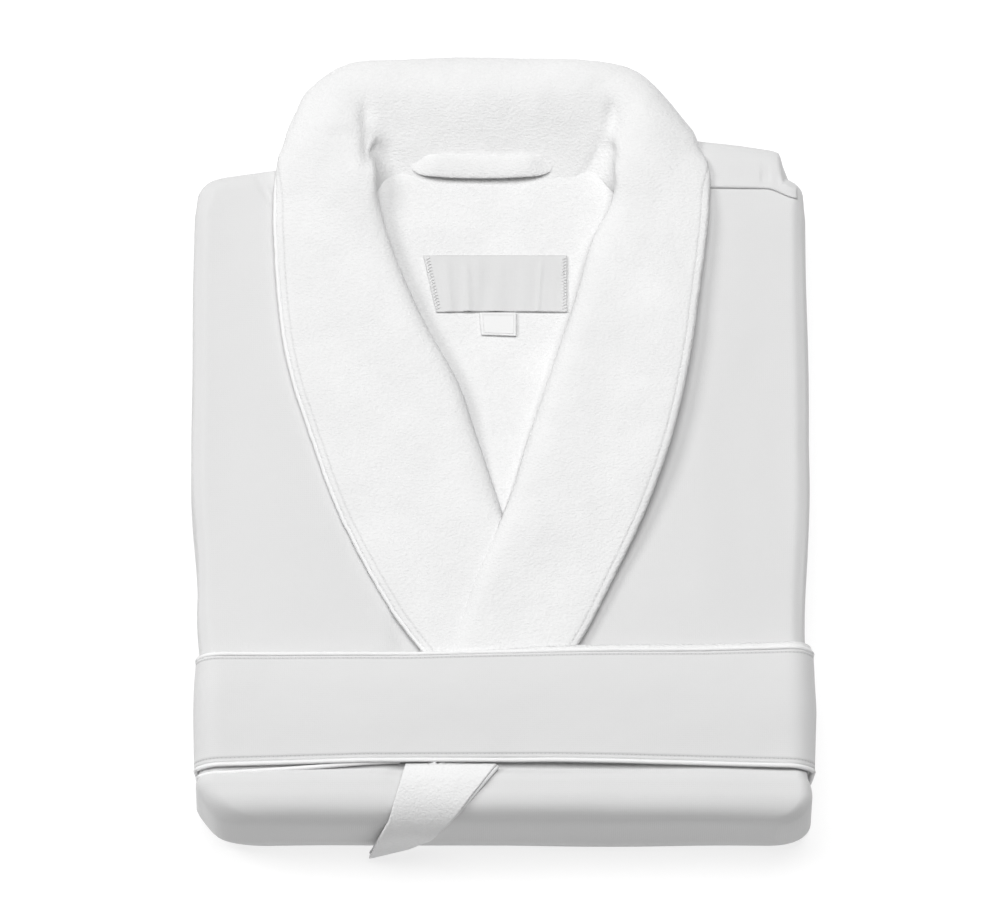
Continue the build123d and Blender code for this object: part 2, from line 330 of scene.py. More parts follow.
@dataclass(frozen=True)
class Cloth:
    """A woven or looped cloth. Lengths are in millimetres.

    Rows of stitches lie at stitch_rows from one long edge, read on the piece's UV map, which holds
    the distance along the piece and across it in metres.
    """

    darkest: ClassVar[float] = 0.72
    lightest: ClassVar[float] = 1.12
    middle_tone: ClassVar[float] = 0.7
    slow_waves: ClassVar[float] = 28.0
    crumple_waves: ClassVar[float] = 45.0
    weave_depth: ClassVar[float] = 0.03
    thread_share: ClassVar[float] = 0.36
    thread_width: ClassVar[float] = 0.32
    thread_height: ClassVar[float] = 0.25
    groove_width: ClassVar[float] = 1.6

    name: str
    colour: float
    roughness: float
    sheen: float
    grain: float
    grain_depth: float
    grain_stretch: Point = (1.0, 1.0, 1.0)
    mottle: float = 0.03
    weave: float = 0.0
    crumple: float = 0.0
    stitch_rows: tuple[float, ...] = ()
    stitch_step: float = 3.0
    # Tone of the gaps between stitches; below 1 it paints shade into the stitch pits.
    stitch_gap_shade_tone: float = 0.8
    # Depth of the groove bump; it also sets how much painted shade darkens the groove.
    groove: float = 0.5

    def material(self) -> bpy.types.Material:
        """Build the material, or find it if it is there.

        Returns:
            The material.
        """
        made = bpy.data.materials.get(self.name)
        if made:
            return made
        made = bpy.data.materials.new(self.name)
        made.use_nodes = True
        bench = NodeBench(made.node_tree)
        shader = made.node_tree.nodes["Principled BSDF"]
        shader.inputs["Roughness"].default_value = self.roughness
        shader.inputs["Sheen Weight"].default_value = self.sheen
        shader.inputs["Sheen Roughness"].default_value = 0.5
        shader.inputs["Specular IOR Level"].default_value = 0.2
        where = bench.add("ShaderNodeTexCoord").outputs["Object"]
        normal, tone = self._surface(bench, where)
        if self.stitch_rows:
            normal, tone = self._stitches(bench, normal, tone)
        mix = bench.add("ShaderNodeMix", data_type="RGBA")
        low, high = self.colour * self.darkest, min(self.colour * self.lightest, 1.0)
        mix.inputs[6].default_value = (low, low, low * 1.004, 1)
        mix.inputs[7].default_value = (high, high, high, 1)
        bench.link(tone, mix.inputs[0])
        bench.link(mix.outputs[2], shader.inputs["Base Color"])
        bench.link(normal, shader.inputs["Normal"])
        return made

    def _surface(self, bench: NodeBench, where: Socket) -> tuple[Socket, Socket]:
        """Grain, weave and slow tone of the cloth.

        Args:
            bench: The material's bench.
            where: Object coordinates.

        Returns:
            The normal socket and the tone socket.
        """
        grain_at = bench.stretched(where, tuple(1.0 / s for s in self.grain_stretch))
        grain = bench.noise(grain_at, 1000.0 / self.grain, 2.0)
        normal = bench.bump(grain, self.grain_depth * MM)
        if self.crumple:
            folds = bench.noise(where, self.crumple_waves, 3.0)
            normal = bench.bump(folds, self.crumple * MM, normal)
        slow = bench.noise(where, self.slow_waves, 3.0)
        tone = bench.centred(slow, 0.5, self.mottle * 6)
        fleck = bench.centred(grain, 0.5, self.mottle * 5)
        tone = bench.math("ADD", bench.math("ADD", tone, fleck), self.middle_tone)
        if self.weave:
            warp, weft = (bench.bands(where, axis, self.weave) for axis in "XY")
            over = bench.math("MULTIPLY", warp, weft)
            normal = bench.bump(over, self.weave_depth * MM, normal)
            tone = bench.math("ADD", tone, bench.centred(over, 0.25, 0.05))
        return normal, tone

    def _stitches(self, bench: NodeBench, normal: Socket, tone: Socket) -> tuple[Socket, Socket]:
        """Rows of machine stitches in a shallow groove, with painted shade in the groove and in the gaps
        between stitches.

        Args:
            bench: The material's bench.
            normal: Normal so far.
            tone: Tone so far.

        Returns:
            The normal socket and the tone socket.
        """
        split = bench.add("ShaderNodeSeparateXYZ")
        bench.link(bench.add("ShaderNodeUVMap").outputs["UV"], split.inputs[0])
        along, across = split.outputs["X"], split.outputs["Y"]
        phase = bench.math("FRACT", bench.math("DIVIDE", along, self.stitch_step * MM))
        off_middle = bench.math("ABSOLUTE", bench.math("SUBTRACT", phase, 0.5))
        thread = bench.math("LESS_THAN", off_middle, self.thread_share)
        for row in self.stitch_rows:
            off = bench.math("ABSOLUTE", bench.math("SUBTRACT", across, row * MM))
            part = bench.math("MINIMUM", bench.math("DIVIDE", off, self.groove_width * MM), 1.0)
            near = bench.math("SUBTRACT", 1.0, part)
            groove = bench.math("MULTIPLY", near, near)
            normal = bench.bump(bench.math("SUBTRACT", 1.0, groove), self.groove * MM, normal)
            on_row = bench.math("LESS_THAN", off, self.thread_width * MM)
            stitch = bench.math("MULTIPLY", on_row, thread)
            normal = bench.bump(stitch, self.thread_height * MM, normal)
            # Painted shade: the gaps between stitches, where the thread dives into the cloth, are darkened.
            gap = bench.math("MULTIPLY", on_row, bench.math("SUBTRACT", 1.0, thread))
            tone = bench.math("SUBTRACT", tone, bench.math("MULTIPLY", gap, 1.0 - self.stitch_gap_shade_tone))
            # Painted shade: the groove along each row is darkened.
            tone = bench.math("SUBTRACT", tone, bench.math("MULTIPLY", groove, 0.2 * self.groove))
        return normal, tone


MICROFIBRE = Cloth(
    "microfibre_shell", colour=0.645, roughness=0.75, sheen=0.15, grain=0.9, grain_depth=0.04,
    mottle=0.012, weave=0.55, crumple=0.3,
)
BELT_CLOTH = replace(
    MICROFIBRE, name="microfibre_belt", colour=0.65, crumple=0.45,
    stitch_rows=(1.8, 57.4), stitch_step=2.3, stitch_gap_shade_tone=0.7,
)
POCKET_CLOTH = replace(
    MICROFIBRE, name="microfibre_pocket", crumple=0.25, stitch_rows=(3.0, 129.0), stitch_step=2.8,
)
TERRY = Cloth(
    "terry_plain", colour=0.75, roughness=0.95, sheen=0.2, grain=1.25, grain_depth=0.55,
    grain_stretch=(1.3, 0.9, 1.0), mottle=0.06, crumple=0.6,
)
COLLAR_TERRY = replace(
    TERRY, name="terry_collar", grain_depth=0.5, mottle=0.055,
    stitch_rows=(4.2,), stitch_step=3.0, stitch_gap_shade_tone=0.93, groove=0.25,
)
# The belt's own terry, painted lighter on the loose end to stand in for light falling on it.
PAINTED_LIGHT_TAIL_TERRY = replace(
    TERRY, name="terry_tail_painted_light", colour=0.79, grain_depth=0.5, grain_stretch=(1.2, 0.9, 0.9),
)
PIPING = Cloth(
    "piping_cotton", colour=0.80, roughness=0.7, sheen=0.1, grain=0.7, grain_depth=0.05,
    mottle=0.01, weave=0.5,
)
LABEL = Cloth(
    "satin_label_cloth", colour=0.62, roughness=0.6, sheen=0.1, grain=0.6, grain_depth=0.02,
    grain_stretch=(6.0, 1.0, 1.0), mottle=0.02, weave=0.4,
)
TAB = replace(LABEL, name="satin_tab_cloth", colour=0.74, mottle=0.01)
THREAD = Cloth(
    "stitch_thread", colour=0.74, roughness=0.6, sheen=0.2, grain=0.5, grain_depth=0.03, mottle=0.01,
)


# ---------------------------------------------------------------------------------------------
# Making meshes
# ---------------------------------------------------------------------------------------------


def clear_selection() -> None:
    """Deselect everything."""
    for item in bpy.context.selected_objects:
        item.select_set(False)


def use_modifier(piece: Piece, kind: str, **values: object) -> None:
    """Add a modifier to a piece and apply it.

    Args:
        piece: The piece.
        kind: Type name of the modifier.
        values: Its settings by name.
    """
    clear_selection()
    bpy.context.view_layer.objects.active = piece
    piece.select_set(True)
    modifier = piece.modifiers.new(kind.lower(), kind)
    for name, value in values.items():
        setattr(modifier, name, value)
    bpy.ops.object.modifier_apply(modifier=modifier.name)
    piece.select_set(False)


def mesh_of(name: str, places: Grid, faces: Faces, uvs: Grid | None = None) -> Piece:
    """Make an object from places in millimetres and faces.

    Args:
        name: Name of the object.
        places: One place a row.
        faces: Corner numbers of each face.
        uvs: Distance along and across for each place, in millimetres.

    Returns:
        The object.
    """
    mesh = bpy.data.meshes.new(name)
    mesh.from_pydata((places * MM).tolist(), [], faces)
    if uvs is not None:
        layer = mesh.uv_layers.new(name="UVMap")
        corners = np.zeros(len(mesh.loops), int)
        mesh.loops.foreach_get("vertex_index", corners)
        layer.data.foreach_set("uv", (uvs[corners] * MM).astype(np.float32).ravel())
    mesh.update()
    piece = bpy.data.objects.new(name, mesh)
    bpy.context.scene.collection.objects.link(piece)
    for polygon in mesh.polygons:
        polygon.use_smooth = True
    return piece


def grid_faces(rows: int, columns: int, closed: bool = False, flip: bool = False) -> Faces:
    """Faces of a grid.

    Args:
        rows: Number of rows.
        columns: Number of columns.
        closed: Whether the last row joins the first.
        flip: Whether to turn the faces over.

    Returns:
        Corner numbers of each face.
    """
    faces = []
    for i in range(rows if closed else rows - 1):
        k = (i + 1) % rows
        for j in range(columns - 1):
            face = (i * columns + j, k * columns + j, k * columns + j + 1, i * columns + j + 1)
            faces.append(face[::-1] if flip else face)
    return faces


def outward_faces(piece: Piece) -> None:
    """Turn the faces of a closed piece outwards.

    Args:
        piece: The piece.
    """
    clear_selection()
    bpy.context.view_layer.objects.active = piece
    piece.select_set(True)
    bpy.ops.object.mode_set(mode="EDIT")
    bpy.ops.mesh.select_all(action="SELECT")
    bpy.ops.mesh.normals_make_consistent(inside=False)
    bpy.ops.object.mode_set(mode="OBJECT")
    piece.select_set(False)


@dataclass(frozen=True)
class Wearing:
    """Where a finished piece belongs: its body, the CAD nodes it stands for, and its slot."""

    body: str
    nodes: tuple[str, ...]
    slot: str


def dress(piece: Piece, cloth: Cloth, wearing: Wearing) -> None:
    """Give a piece its finish and its place in the frame.

    Args:
        piece: The piece.
        cloth: Its finish.
        wearing: Where it belongs.
    """
    piece.data.materials.clear()
    piece.data.materials.append(cloth.material())
    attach(piece, wearing.body)
    if wearing.nodes:
        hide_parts(*wearing.nodes)
    log.info("%s: %d faces on %s", piece.name, len(piece.data.polygons), wearing.body)


@dataclass(frozen=True)
class Sheet:
    """One sheet of cloth: its finish, where it belongs and what holds it.

    The thickness is in millimetres. It goes inwards from the grid of places where outward is -1.
    """

    name: str
    thick: float
    cloth: Cloth
    wearing: Wearing
    held: str
    rests_on: tuple[str, ...]
    flip: bool = False
    outward: float = -1.0

    def make(self, grid: Grid, uvs: Grid | None = None) -> Piece:
        """Make the sheet and dress it.

        Args:
            grid: Rows and columns of places in millimetres.
            uvs: Distance along and across for each place, or None for a plain count.

        Returns:
            The piece.
        """
        rows, columns = grid.shape[:2]
        if uvs is None:
            counts = (np.linspace(0, rows, rows), np.linspace(0, columns, columns))
            uvs = np.dstack(np.meshgrid(*counts, indexing="ij"))
        faces = grid_faces(rows, columns, flip=self.flip)
        piece = mesh_of(self.name, grid.reshape(-1, 3), faces, uvs.reshape(-1, 2))
        use_modifier(piece, "WELD", merge_threshold=WELD_GAP)
        thickness = {"thickness": self.thick * MM, "offset": self.outward}
        use_modifier(piece, "SOLIDIFY", use_even_offset=False, **thickness)
        outward_faces(piece)
        dress(piece, self.cloth, self.wearing)
        return piece

    def lay(self, grid: Grid, uvs: Grid | None = None) -> None:
        self.make(grid, uvs)


@dataclass(frozen=True)
class Tube:
    """A closed round run of piping or thread. Its radius is in millimetres."""

    name: str
    radius: float
    cloth: Cloth
    wearing: Wearing
    sides: int = 10

    def make(self, path: Grid) -> Piece:
        """Make the tube and dress it.

        Args:
            path: Places along its middle, in millimetres.

        Returns:
            The piece.
        """
        ahead = np.gradient(path, axis=0)
        ahead /= np.linalg.norm(ahead, axis=1, keepdims=True)
        up = np.tile([0.0, 0.0, 1.0], (len(path), 1))
        steep = np.abs(ahead[:, 2]) > 0.95
        up[steep] = [0.0, 1.0, 0.0]
        side = np.cross(ahead, up)
        side /= np.linalg.norm(side, axis=1, keepdims=True)
        for i in range(1, len(side)):
            if np.dot(side[i], side[i - 1]) < 0:
                side[i] = -side[i]
        top = np.cross(side, ahead)
        rings = []
        for k in range(self.sides):
            turn = 2 * math.pi * k / self.sides
            rings.append(path + self.radius * (math.cos(turn) * side + math.sin(turn) * top))
        places = np.vstack([*rings, path[:1], path[-1:]])
        piece = mesh_of(self.name, places, self._faces(len(path)))
        outward_faces(piece)
        dress(piece, self.cloth, self.wearing)
        return piece

    def _faces(self, count: int) -> Faces:
        """Faces of the wall and of the two closed ends.

        Args:
            count: Number of places along the path.

        Returns:
            Corner numbers of each face.
        """
        faces = grid_faces(self.sides, count, closed=True)
        first, last = self.sides * count, self.sides * count + 1
        for k in range(self.sides):
            start, after = k * count, (k + 1) % self.sides * count
            faces.append((start, first, after))
            faces.append((start + count - 1, after + count - 1, last))
        return faces


# ---------------------------------------------------------------------------------------------
# The folded body
# ---------------------------------------------------------------------------------------------


@dataclass
class Bundle:
    """Shell of the folded robe: chest fold above, skirt fold below, joined by the front fold."""

    pull_x: float = -127.0
    pull_y: float = 141.0
    crease_z: float = 33.0
    crease_depth: float = 9.5
    front_r: float = 10.0
    rear_r: float = 7.0
    side_r: dict[Side, float] = field(default_factory=lambda: {Side.LEFT: 7.5, Side.RIGHT: 13.0})
    corners: dict[Side, tuple[float, float]] = field(
        default_factory=lambda: {Side.LEFT: (13.0, 8.0), Side.RIGHT: (14.0, 17.0)}
    )
    lap_edge: float = -50.0
    lap_under: float = 14.0
    lap_tuck: float = 1.5
    belt_room: float = 4.0
    belt_pinch: float = 4.5
    waist: float = 2.2
    fullness: float = 5.6
    front_fullness: float = 1.4
    rear_sag: float = 2.0
    front_sag: float = 2.2
    arc: float = 150.0
    shell: float = 1.1
    step: float = 3.0
    low_share: float = 0.4
    across: int = 60

    LEAN: ClassVar[Offsets] = ((-190, 1.4), (-120, 0.8), (0, -1.2))
    """Place along the bundle, and how far it stands to the wearer's left there."""

    SWELLS: ClassVar[dict[Side, Sections]] = {
        Side.LEFT: ((-202, 9, 1.6),),
        Side.RIGHT: ((-98, 24, 2.4), (-194, 7, 3.0)),
    }
    """Place along the bundle, length and height of each swelling in a side."""

    def __post_init__(self) -> None:
        """Take the outer sizes from the frame."""
        low, high = cad("left_front_shell")
        self.half, self.shoulder, self.top = (float(value) for value in high)
        self.front = float(low[1])
        self.belt_low, self.belt_high = cad("belt_face")
        self.lift = float(self.belt_low[2]) + self.belt_room

    def half_width(self, y: float, side: Side) -> float:
        """Reach of one side: pinched by the belt, fuller behind it, rounded at its corners.

        Args:
            y: Place along the bundle.
            side: The wearer's side.

        Returns:
            Distance from the middle in millimetres.
        """
        behind, ahead = y - self.belt_high[1], self.belt_low[1] - y
        wide = self.half - self.waist + self.fullness * float(smooth(behind, 2, 110))
        wide += self.front_fullness * float(smooth(ahead, 1, 9))
        wide += side.value * float(read_edge(self.LEAN, y))
        for place, length, height in self.SWELLS[side]:
            wide += height * math.exp(-(((y - place) / length) ** 2))
        for radius, gap in zip(self.corners[side], (self.shoulder - y, y - self.front)):
            inside = max(radius - max(gap, 0.0), 0.0)
            wide -= radius - math.sqrt(max(radius**2 - inside**2, 0.0))
        return wide

    def underside(self, y: float) -> float:
        """Height of the underside at y, lifted where the belt runs under it."""
        behind, ahead = y - self.belt_high[1], self.belt_low[1] - y
        sag = self.rear_sag * float(smooth(behind, 3, 18))
        return self.lift - sag - self.front_sag * float(smooth(ahead, 3, 14))

    def wall(self, y: float, inset: float, side: Side, layer: float) -> Grid:
        """Side of the bundle in X and Z, from its top edge to its bottom edge.

        Args:
            y: Place along the bundle.
            side: The wearer's side.
            inset: How far a fold draws the section in.
            layer: How deep in the stack of layers the section lies.

        Returns:
            X and Z of the side's places, for the wearer's left.
        """
        half = self.half_width(y, side) - min(inset, 10.0) - 0.1 * max(inset - 10.0, 0.0) - layer
        high, low = self.top - inset - layer, self.underside(y) + self.low_share * inset + layer
        crease = self.crease_z
        upper_r, lower_r = max((high - crease) / 2, 0.1), max((crease - low) / 2, 0.1)
        turn = np.linspace(0, 1, 16)
        upper, lower = np.radians(90 - self.arc * turn), np.radians(60 - self.arc * turn)
        top_z = high - upper_r + upper_r * np.sin(upper)
        low_z = low + lower_r + lower_r * np.sin(lower)
        top_bulge = np.column_stack([upper_r * (np.cos(upper) - 1), top_z])
        low_bulge = np.column_stack([lower_r * (np.cos(lower) - 1), low_z])
        top_bulge[:, 0] *= np.where(upper > 0, 0.6, 1.0)
        folds = np.vstack([top_bulge, low_bulge]) + (half, 0)
        deepest = self.crease_depth + 8 * smooth(np.abs(folds[:, 1] - crease), 6, 12)
        folds[:, 0] = np.maximum(folds[:, 0], half - deepest)
        r = max(min(self.side_r[side], (high - low) / 2 - 0.01), 0.01)
        quarter = np.radians(90 * turn)
        above = np.column_stack([half - r + r * np.sin(quarter), high - r + r * np.cos(quarter)])
        below = np.column_stack([half - r + r * np.cos(quarter), low + r - r * np.sin(quarter)])
        plain = np.vstack([above, below])
        to_front, to_shoulder = y - self.front, self.shoulder - y
        near_end = 1 - min(float(smooth(to_front, 12, 45)), float(smooth(to_shoulder, 6, 22)))
        shape = folds * (1 - near_end) + plain * near_end
        belted = float(smooth(y, self.belt_low[1] - 3, self.belt_low[1] + 4))
        belted *= 1 - float(smooth(y, self.belt_high[1] + 4, self.belt_high[1] + 30))
        shape[:, 0] -= self.belt_pinch * belted * smooth(-shape[:, 1], -48, -26)
        return shape

    def ring(self, y: float, inset: float, side: Side, layer: float) -> Grid:
        """One section of a front panel, from its top edge round the side to its bottom edge.

        Args:
            y: Place along the bundle.
            inset: How far a fold draws the section in.
            side: Side that the panel wraps.
            layer: How deep in the stack of layers the section lies.

        Returns:
            The places of the section.
        """
        wall = self.wall(y, inset, side, layer)
        start = self.neckline(side, y)
        finish = self.lap_edge if side is Side.LEFT else self.lap_edge + self.lap_under
        sign = side.value
        (first_x, first_z), (last_x, last_z) = wall[0], wall[-1]
        count = self.across
        top = np.column_stack([np.linspace(start, sign * first_x, count), np.full(count, first_z)])
        low = np.column_stack([np.linspace(sign * last_x, finish, count), np.full(count, last_z)])
        section = np.vstack([top[:-1], wall * (sign, 1), low[1:]])
        return np.column_stack([section[:, 0], np.full(len(section), y), section[:, 1]])

    def neckline(self, side: Side, y: float) -> float:
        """Top edge of a front panel, hidden under the lapel.

        Args:
            side: The wearer's side.
            y: Place along the bundle.

        Returns:
            X of the edge in millimetres.
        """
        if side is Side.LEFT:
            return float(np.interp(y, [-178, -150, self.shoulder], [self.lap_edge, -38, 84]))
        start = self.lap_edge + self.lap_under
        return float(np.interp(y, [-178, -60, 60, self.shoulder], [start, 4, -64, -90]))

    def depth(self, y: float, layer: float) -> float:
        """How far a section at y can be drawn in before its top and bottom meet."""
        return (self.top - self.underside(y) - 2 * layer) / (1 + self.low_share) - 0.005

    def panel(self, side: Side, layer: float = 0.0) -> Grid:
        """Surface of a front panel, closed behind at the shoulder and in front at the fold.

        Args:
            side: The wearer's side.
            layer: How deep in the stack of layers it lies.

        Returns:
            A grid of places.
        """
        rear, front = self.shoulder - layer, self.front + layer
        rear_r, front_r = self.rear_r, self.front_r
        rear_insets = np.linspace(self.depth(rear, layer), rear_r, 7)[:-1]
        front_insets = np.linspace(front_r, self.depth(front, layer), 9)[1:]
        stops = [(rear, float(inset)) for inset in rear_insets]
        for turn in np.radians(np.linspace(90, 0, 10)):
            stops.append((rear - rear_r * (1 - math.sin(turn)), rear_r * (1 - math.cos(turn))))
        level = np.arange(rear - rear_r - 2, front + front_r + 1, -self.step)
        stops += [(float(y), 0.0) for y in level]
        for turn in np.radians(np.linspace(0, 90, 12)):
            stops.append((front + front_r * (1 - math.sin(turn)), front_r * (1 - math.cos(turn))))
        stops += [(front, float(inset)) for inset in front_insets]
        grid = np.stack([self.ring(y, inset, side, layer) for y, inset in stops])
        return self.worn(grid, side)

    def worn(self, grid: Grid, side: Side) -> Grid:
        """Lay the wear of folding on a panel: slow waves, pulls at the belt and soft ends.

        Args:
            grid: Places of the panel, which are moved.
            side: The wearer's side.

        Returns:
            The same grid.
        """
        x, y, z = (grid[..., k].copy() for k in range(3))
        out = np.abs(x)
        seed = 3.0 + side.value
        up = smooth(z, self.top - 9, self.top - 1)
        behind = smooth(y - self.belt_high[1], 4, 40)
        ahead = smooth(self.belt_low[1] - y, 1, 6)
        free = np.maximum(behind, ahead * 0.6)

        # The top rises and sinks slowly, and stands highest in front of the belt's middle.
        slow = unrest(grid, 70.0, seed, (1.0, 1.6, 1.0)) * 1.1
        slow = slow + unrest(grid, 26.0, seed + 5, (0.8, 2.2, 1.0)) * 0.45
        swell = 3.7 + 1 - smooth(out, 20, 120)
        grid[..., 2] += up * (slow * free - 1.4 + 0.7 * behind + swell * ahead)

        # It droops towards the sides, whose walls have long folds along the robe.
        droop = 1.6 + 1.2 * behind * (1 - 0.7 * smooth(y, 100, 140))
        grid[..., 2] -= up * smooth(out, self.half - 60, self.half - 6) * droop
        wall = smooth(out, self.half - 16, self.half - 4)
        folds = unrest(grid, 16.0, seed + 9, (1.0, 6.0, 0.55))
        grid[..., 0] += side.value * wall * (folds * 1.5 - 1.2) * (0.25 + 0.75 * free)

        # A pressed crease runs from the right shoulder to the collar.
        shift = y - self.pull_y
        crease = np.exp(-(((x - self.pull_x + 0.6 * shift) / 3.2) ** 2) - (shift / 9) ** 2)
        grid[..., 2] -= 2.0 * crease * up

        # The front fold and the shoulder fold are dented and rounded.
        face = 1 - smooth(y - self.front, 1, 10)
        rear = 1 - smooth(self.shoulder - y, 1, 8)
        dents = unrest(grid, 48.0, seed + 13, (1.6, 1.0, 0.8))
        rounding = 1.6 * smooth(np.abs(z - 32), 14, 30)
        grid[..., 1] += face * (dents * 0.9 + rounding - 3.6)
        neck = 4.5 * (1 - smooth(out, 108, 156)) * smooth(z, 40, 56)
        grid[..., 1] += rear * (dents * 0.8 + 3.2 - rounding + neck)
        return grid

    def build(self) -> None:
        """Make the two front panels and their lap."""
        for side in (Side.RIGHT, Side.LEFT):
            grid = self.panel(side)
            word = side.name.lower()
            if side is Side.RIGHT:
                lap = smooth(grid[..., 0] - self.lap_edge, -14, -2)
                grid = grid + normals(grid) * (lap * self.lap_tuck)[..., None]
            wearing = Wearing("bundle", (f"{word}_front_shell",), "microfibre")
            rests_on = (f"{word}_front_lining",)
            name = f"{word}_shell_panel"
            flip = side is Side.RIGHT
            Sheet(name, self.shell, MICROFIBRE, wearing, "folded", rests_on, flip).lay(grid)


# ---------------------------------------------------------------------------------------------
# Shawl collar and the neck
# ---------------------------------------------------------------------------------------------


@dataclass
class ShawlCollar:
    """One terry collar: under lapel, roll behind the neck, over lapel.

    Each section of the net runs from the inner root over the roll to the outer edge.
    """

    terry: float = 2.2
    backing: float = 0.8
    piping_r: float = 1.35
    piping_step: float = 2.2
    columns: int = 40
    rows: int = 470
    puff: float = 0.9
    root_z: float = 55.0

    RIGHT_LAPEL: ClassVar[Sections] = (
        ((-6, -168, 61.4), (12, -160, 61.6)),
        ((-42, -122, 62.6), (16, -110, 62.0)),
        ((-59, -98, 63.0), (12, -80, 62.6)),
        ((-85, -48, 63.4), (1, -45, 63.8)),
        ((-104, 5, 63.8), (-14, 2, 65.2)),
        ((-114, 38, 64.0), (-24, 32, 65.6)),
        ((-120, 77, 64.0), (-47, 77, 66.0)),
        ((-123, 128, 63.6), (-65, 128, 66.0)),
    )
    LEFT_LAPEL: ClassVar[Sections] = (
        ((113.0, 134, 65.6), (60, 136, 67.4)),
        ((111.2, 112, 66.6), (49, 112, 67.8)),
        ((106.8, 77, 67.8), (39.6, 77, 68.4)),
        ((102.0, 43, 69.0), (29, 43, 68.8)),
        ((92.0, -3, 69.4), (13.5, -5, 68.6)),
        ((77.5, -45, 67.8), (1, -45, 67.8)),
        ((60.5, -82, 65.4), (-13.8, -80, 66.8)),
        ((42.3, -118, 64.0), (-27.8, -120, 65.2)),
        ((22.0, -147, 63.2), (-38, -150, 63.6)),
        ((-4.0, -178, 62.2), (-43, -178, 62.6)),
        ((-30.0, -188, 62.0), (-42, -188, 62.2)),
    )
    NECK: ClassVar[Sections] = (
        ((-65, 148, 50.6), (-69, 152, 67), (-95, 155, 68), (-121, 160, 63), (-122.5, 156, 59)),
        ((-57, 149, 50.0), (-70, 168, 65), (-95, 182, 68), (-116.4, 180, 57), (-116.4, 175, 40)),
        ((-49, 148, 50.2), (-66, 176, 61.5), (-87, 198, 67), (-106.6, 203, 56), (-105.6, 197, 24)),
        ((-41, 146, 50.8), (-54, 172, 58.5), (-70, 203, 66.5), (-87, 217.5, 57), (-87, 211, 14)),
        ((-24, 145, 51.2), (-27, 166, 56.5), (-38, 202, 66.5), (-50, 222, 57), (-49, 216, 11)),
        ((0, 145, 51.2), (0, 165, 56.3), (0, 202, 66.5), (0, 222.5, 57), (0, 216, 11)),
        ((20, 145, 51.2), (24, 166, 56.5), (32, 202, 66.5), (45, 221, 57), (43, 215, 11)),
        ((35, 146, 50.8), (48, 172, 58.5), (58, 201, 66.5), (74, 215, 56), (73, 209, 14)),
        ((42, 148, 50.2), (59, 176, 61.5), (75, 193, 67), (92, 196, 56), (91, 190, 24)),
        ((49, 149, 50.0), (62, 168, 65), (83, 179, 68), (105, 178, 57), (103, 173, 40)),
        ((56, 148, 50.6), (62, 152, 67.2), (88, 156, 68.2), (112.3, 158, 62.5), (112.8, 154, 60)),
    )

    def lapel_section(self, outer: Point, roll: Point, root: float) -> Grid:
        """One section of a lapel.

        Args:
            outer: Outer edge.
            roll: Rolled inner edge, at its highest.
            root: Height of the inner root.

        Returns:
            Six places, from the inner root to the outer edge.
        """
        edge, crest = np.array(outer, float), np.array(roll, float)
        away = (edge - crest) * (1, 1, 0)
        away /= np.linalg.norm(away)
        middle = (edge + crest) / 2 + (0, 0, self.puff)
        inner = crest + away * 8
        inner[2] = root
        shelf = edge - away * 5 + (0, 0, self.puff)
        return np.array([inner, crest - (0, 0, 4.5), crest + away * 5, middle, shelf, edge])

    def net(self) -> Grid:
        """All sections of the collar, from the under lapel's end to the over lapel's end.

        Returns:
            Six places for each section.
        """
        under, over = [], []
        for outer, roll in self.RIGHT_LAPEL:
            under.append(self.lapel_section(outer, roll, min(self.root_z, roll[2] - 7)))
        for outer, roll in self.LEFT_LAPEL:
            crossing = float(smooth(-roll[1], 20, 60))
            root = self.root_z * (1 - crossing) + 62.4 * crossing
            over.append(self.lapel_section(outer, roll, root))
        neck = []
        for inner, crest, middle, shelf, edge in np.array(self.NECK, float):
            rise = float(smooth(crest[2], 57, 66))
            bend = (inner + crest) / 2 * (1 - rise) + (crest - (0, 0, 4.5)) * rise
            neck.append(np.array([inner, bend, crest, middle, shelf, edge]))
        return np.array([*under, *neck, *over])

    def surface(self) -> Grid:
        """Upper surface of the terry, with the softness of a pressed pile cloth.

        Returns:
            A grid, along the collar by across it from the inner root.
        """
        sections = np.stack([spline(section, self.columns) for section in self.net()])
        grid = spline(sections, self.rows)
        waves = unrest(grid, 60.0, 21.0) * 0.8 + unrest(grid, 24.0, 27.0) * 0.4
        waves = waves + unrest(grid, 7.0, 29.0) * 0.22
        column = np.arange(self.columns)
        edge = smooth(column, 2, 10) * (1 - 0.8 * smooth(column, 30, 39))
        under_belt = 1 - 0.8 * smooth(-grid[..., 1], 105, 122)
        push = waves * edge[None, :] * under_belt
        for place, wide, deep in self.dimples():
            gap = np.linalg.norm((grid - place) / wide, axis=2)
            push -= deep * np.exp(-gap * gap)
        grid = grid + normals(grid) * push[..., None]
        fringe = smooth(column, self.columns - 4, self.columns - 1)[None, :, None]
        return grid + fringe * (0.35 * unrest(grid, 4.0, 33.0))[..., None] * (1, 0.6, 0.3)

    @staticmethod
    def dimples() -> tuple[tuple[Grid, Grid, float], ...]:
        """Pinches where the roll turns round the neck: place, width along each axis, depth."""
        return (
            (np.array([-73.0, 166.0, 65.0]), np.array([3.5, 11.0, 9.0]), 3.2),
            (np.array([-74.0, 186.0, 65.0]), np.array([3.0, 7.0, 9.0]), 1.6),
            (np.array([-86.0, 172.0, 66.0]), np.array([12.0, 3.0, 9.0]), 1.2),
            (np.array([60.5, 187.0, 65.0]), np.array([4.0, 9.0, 9.0]), 3.4),
            (np.array([55.0, 203.0, 66.0]), np.array([6.0, 4.0, 9.0]), 1.0),
        )

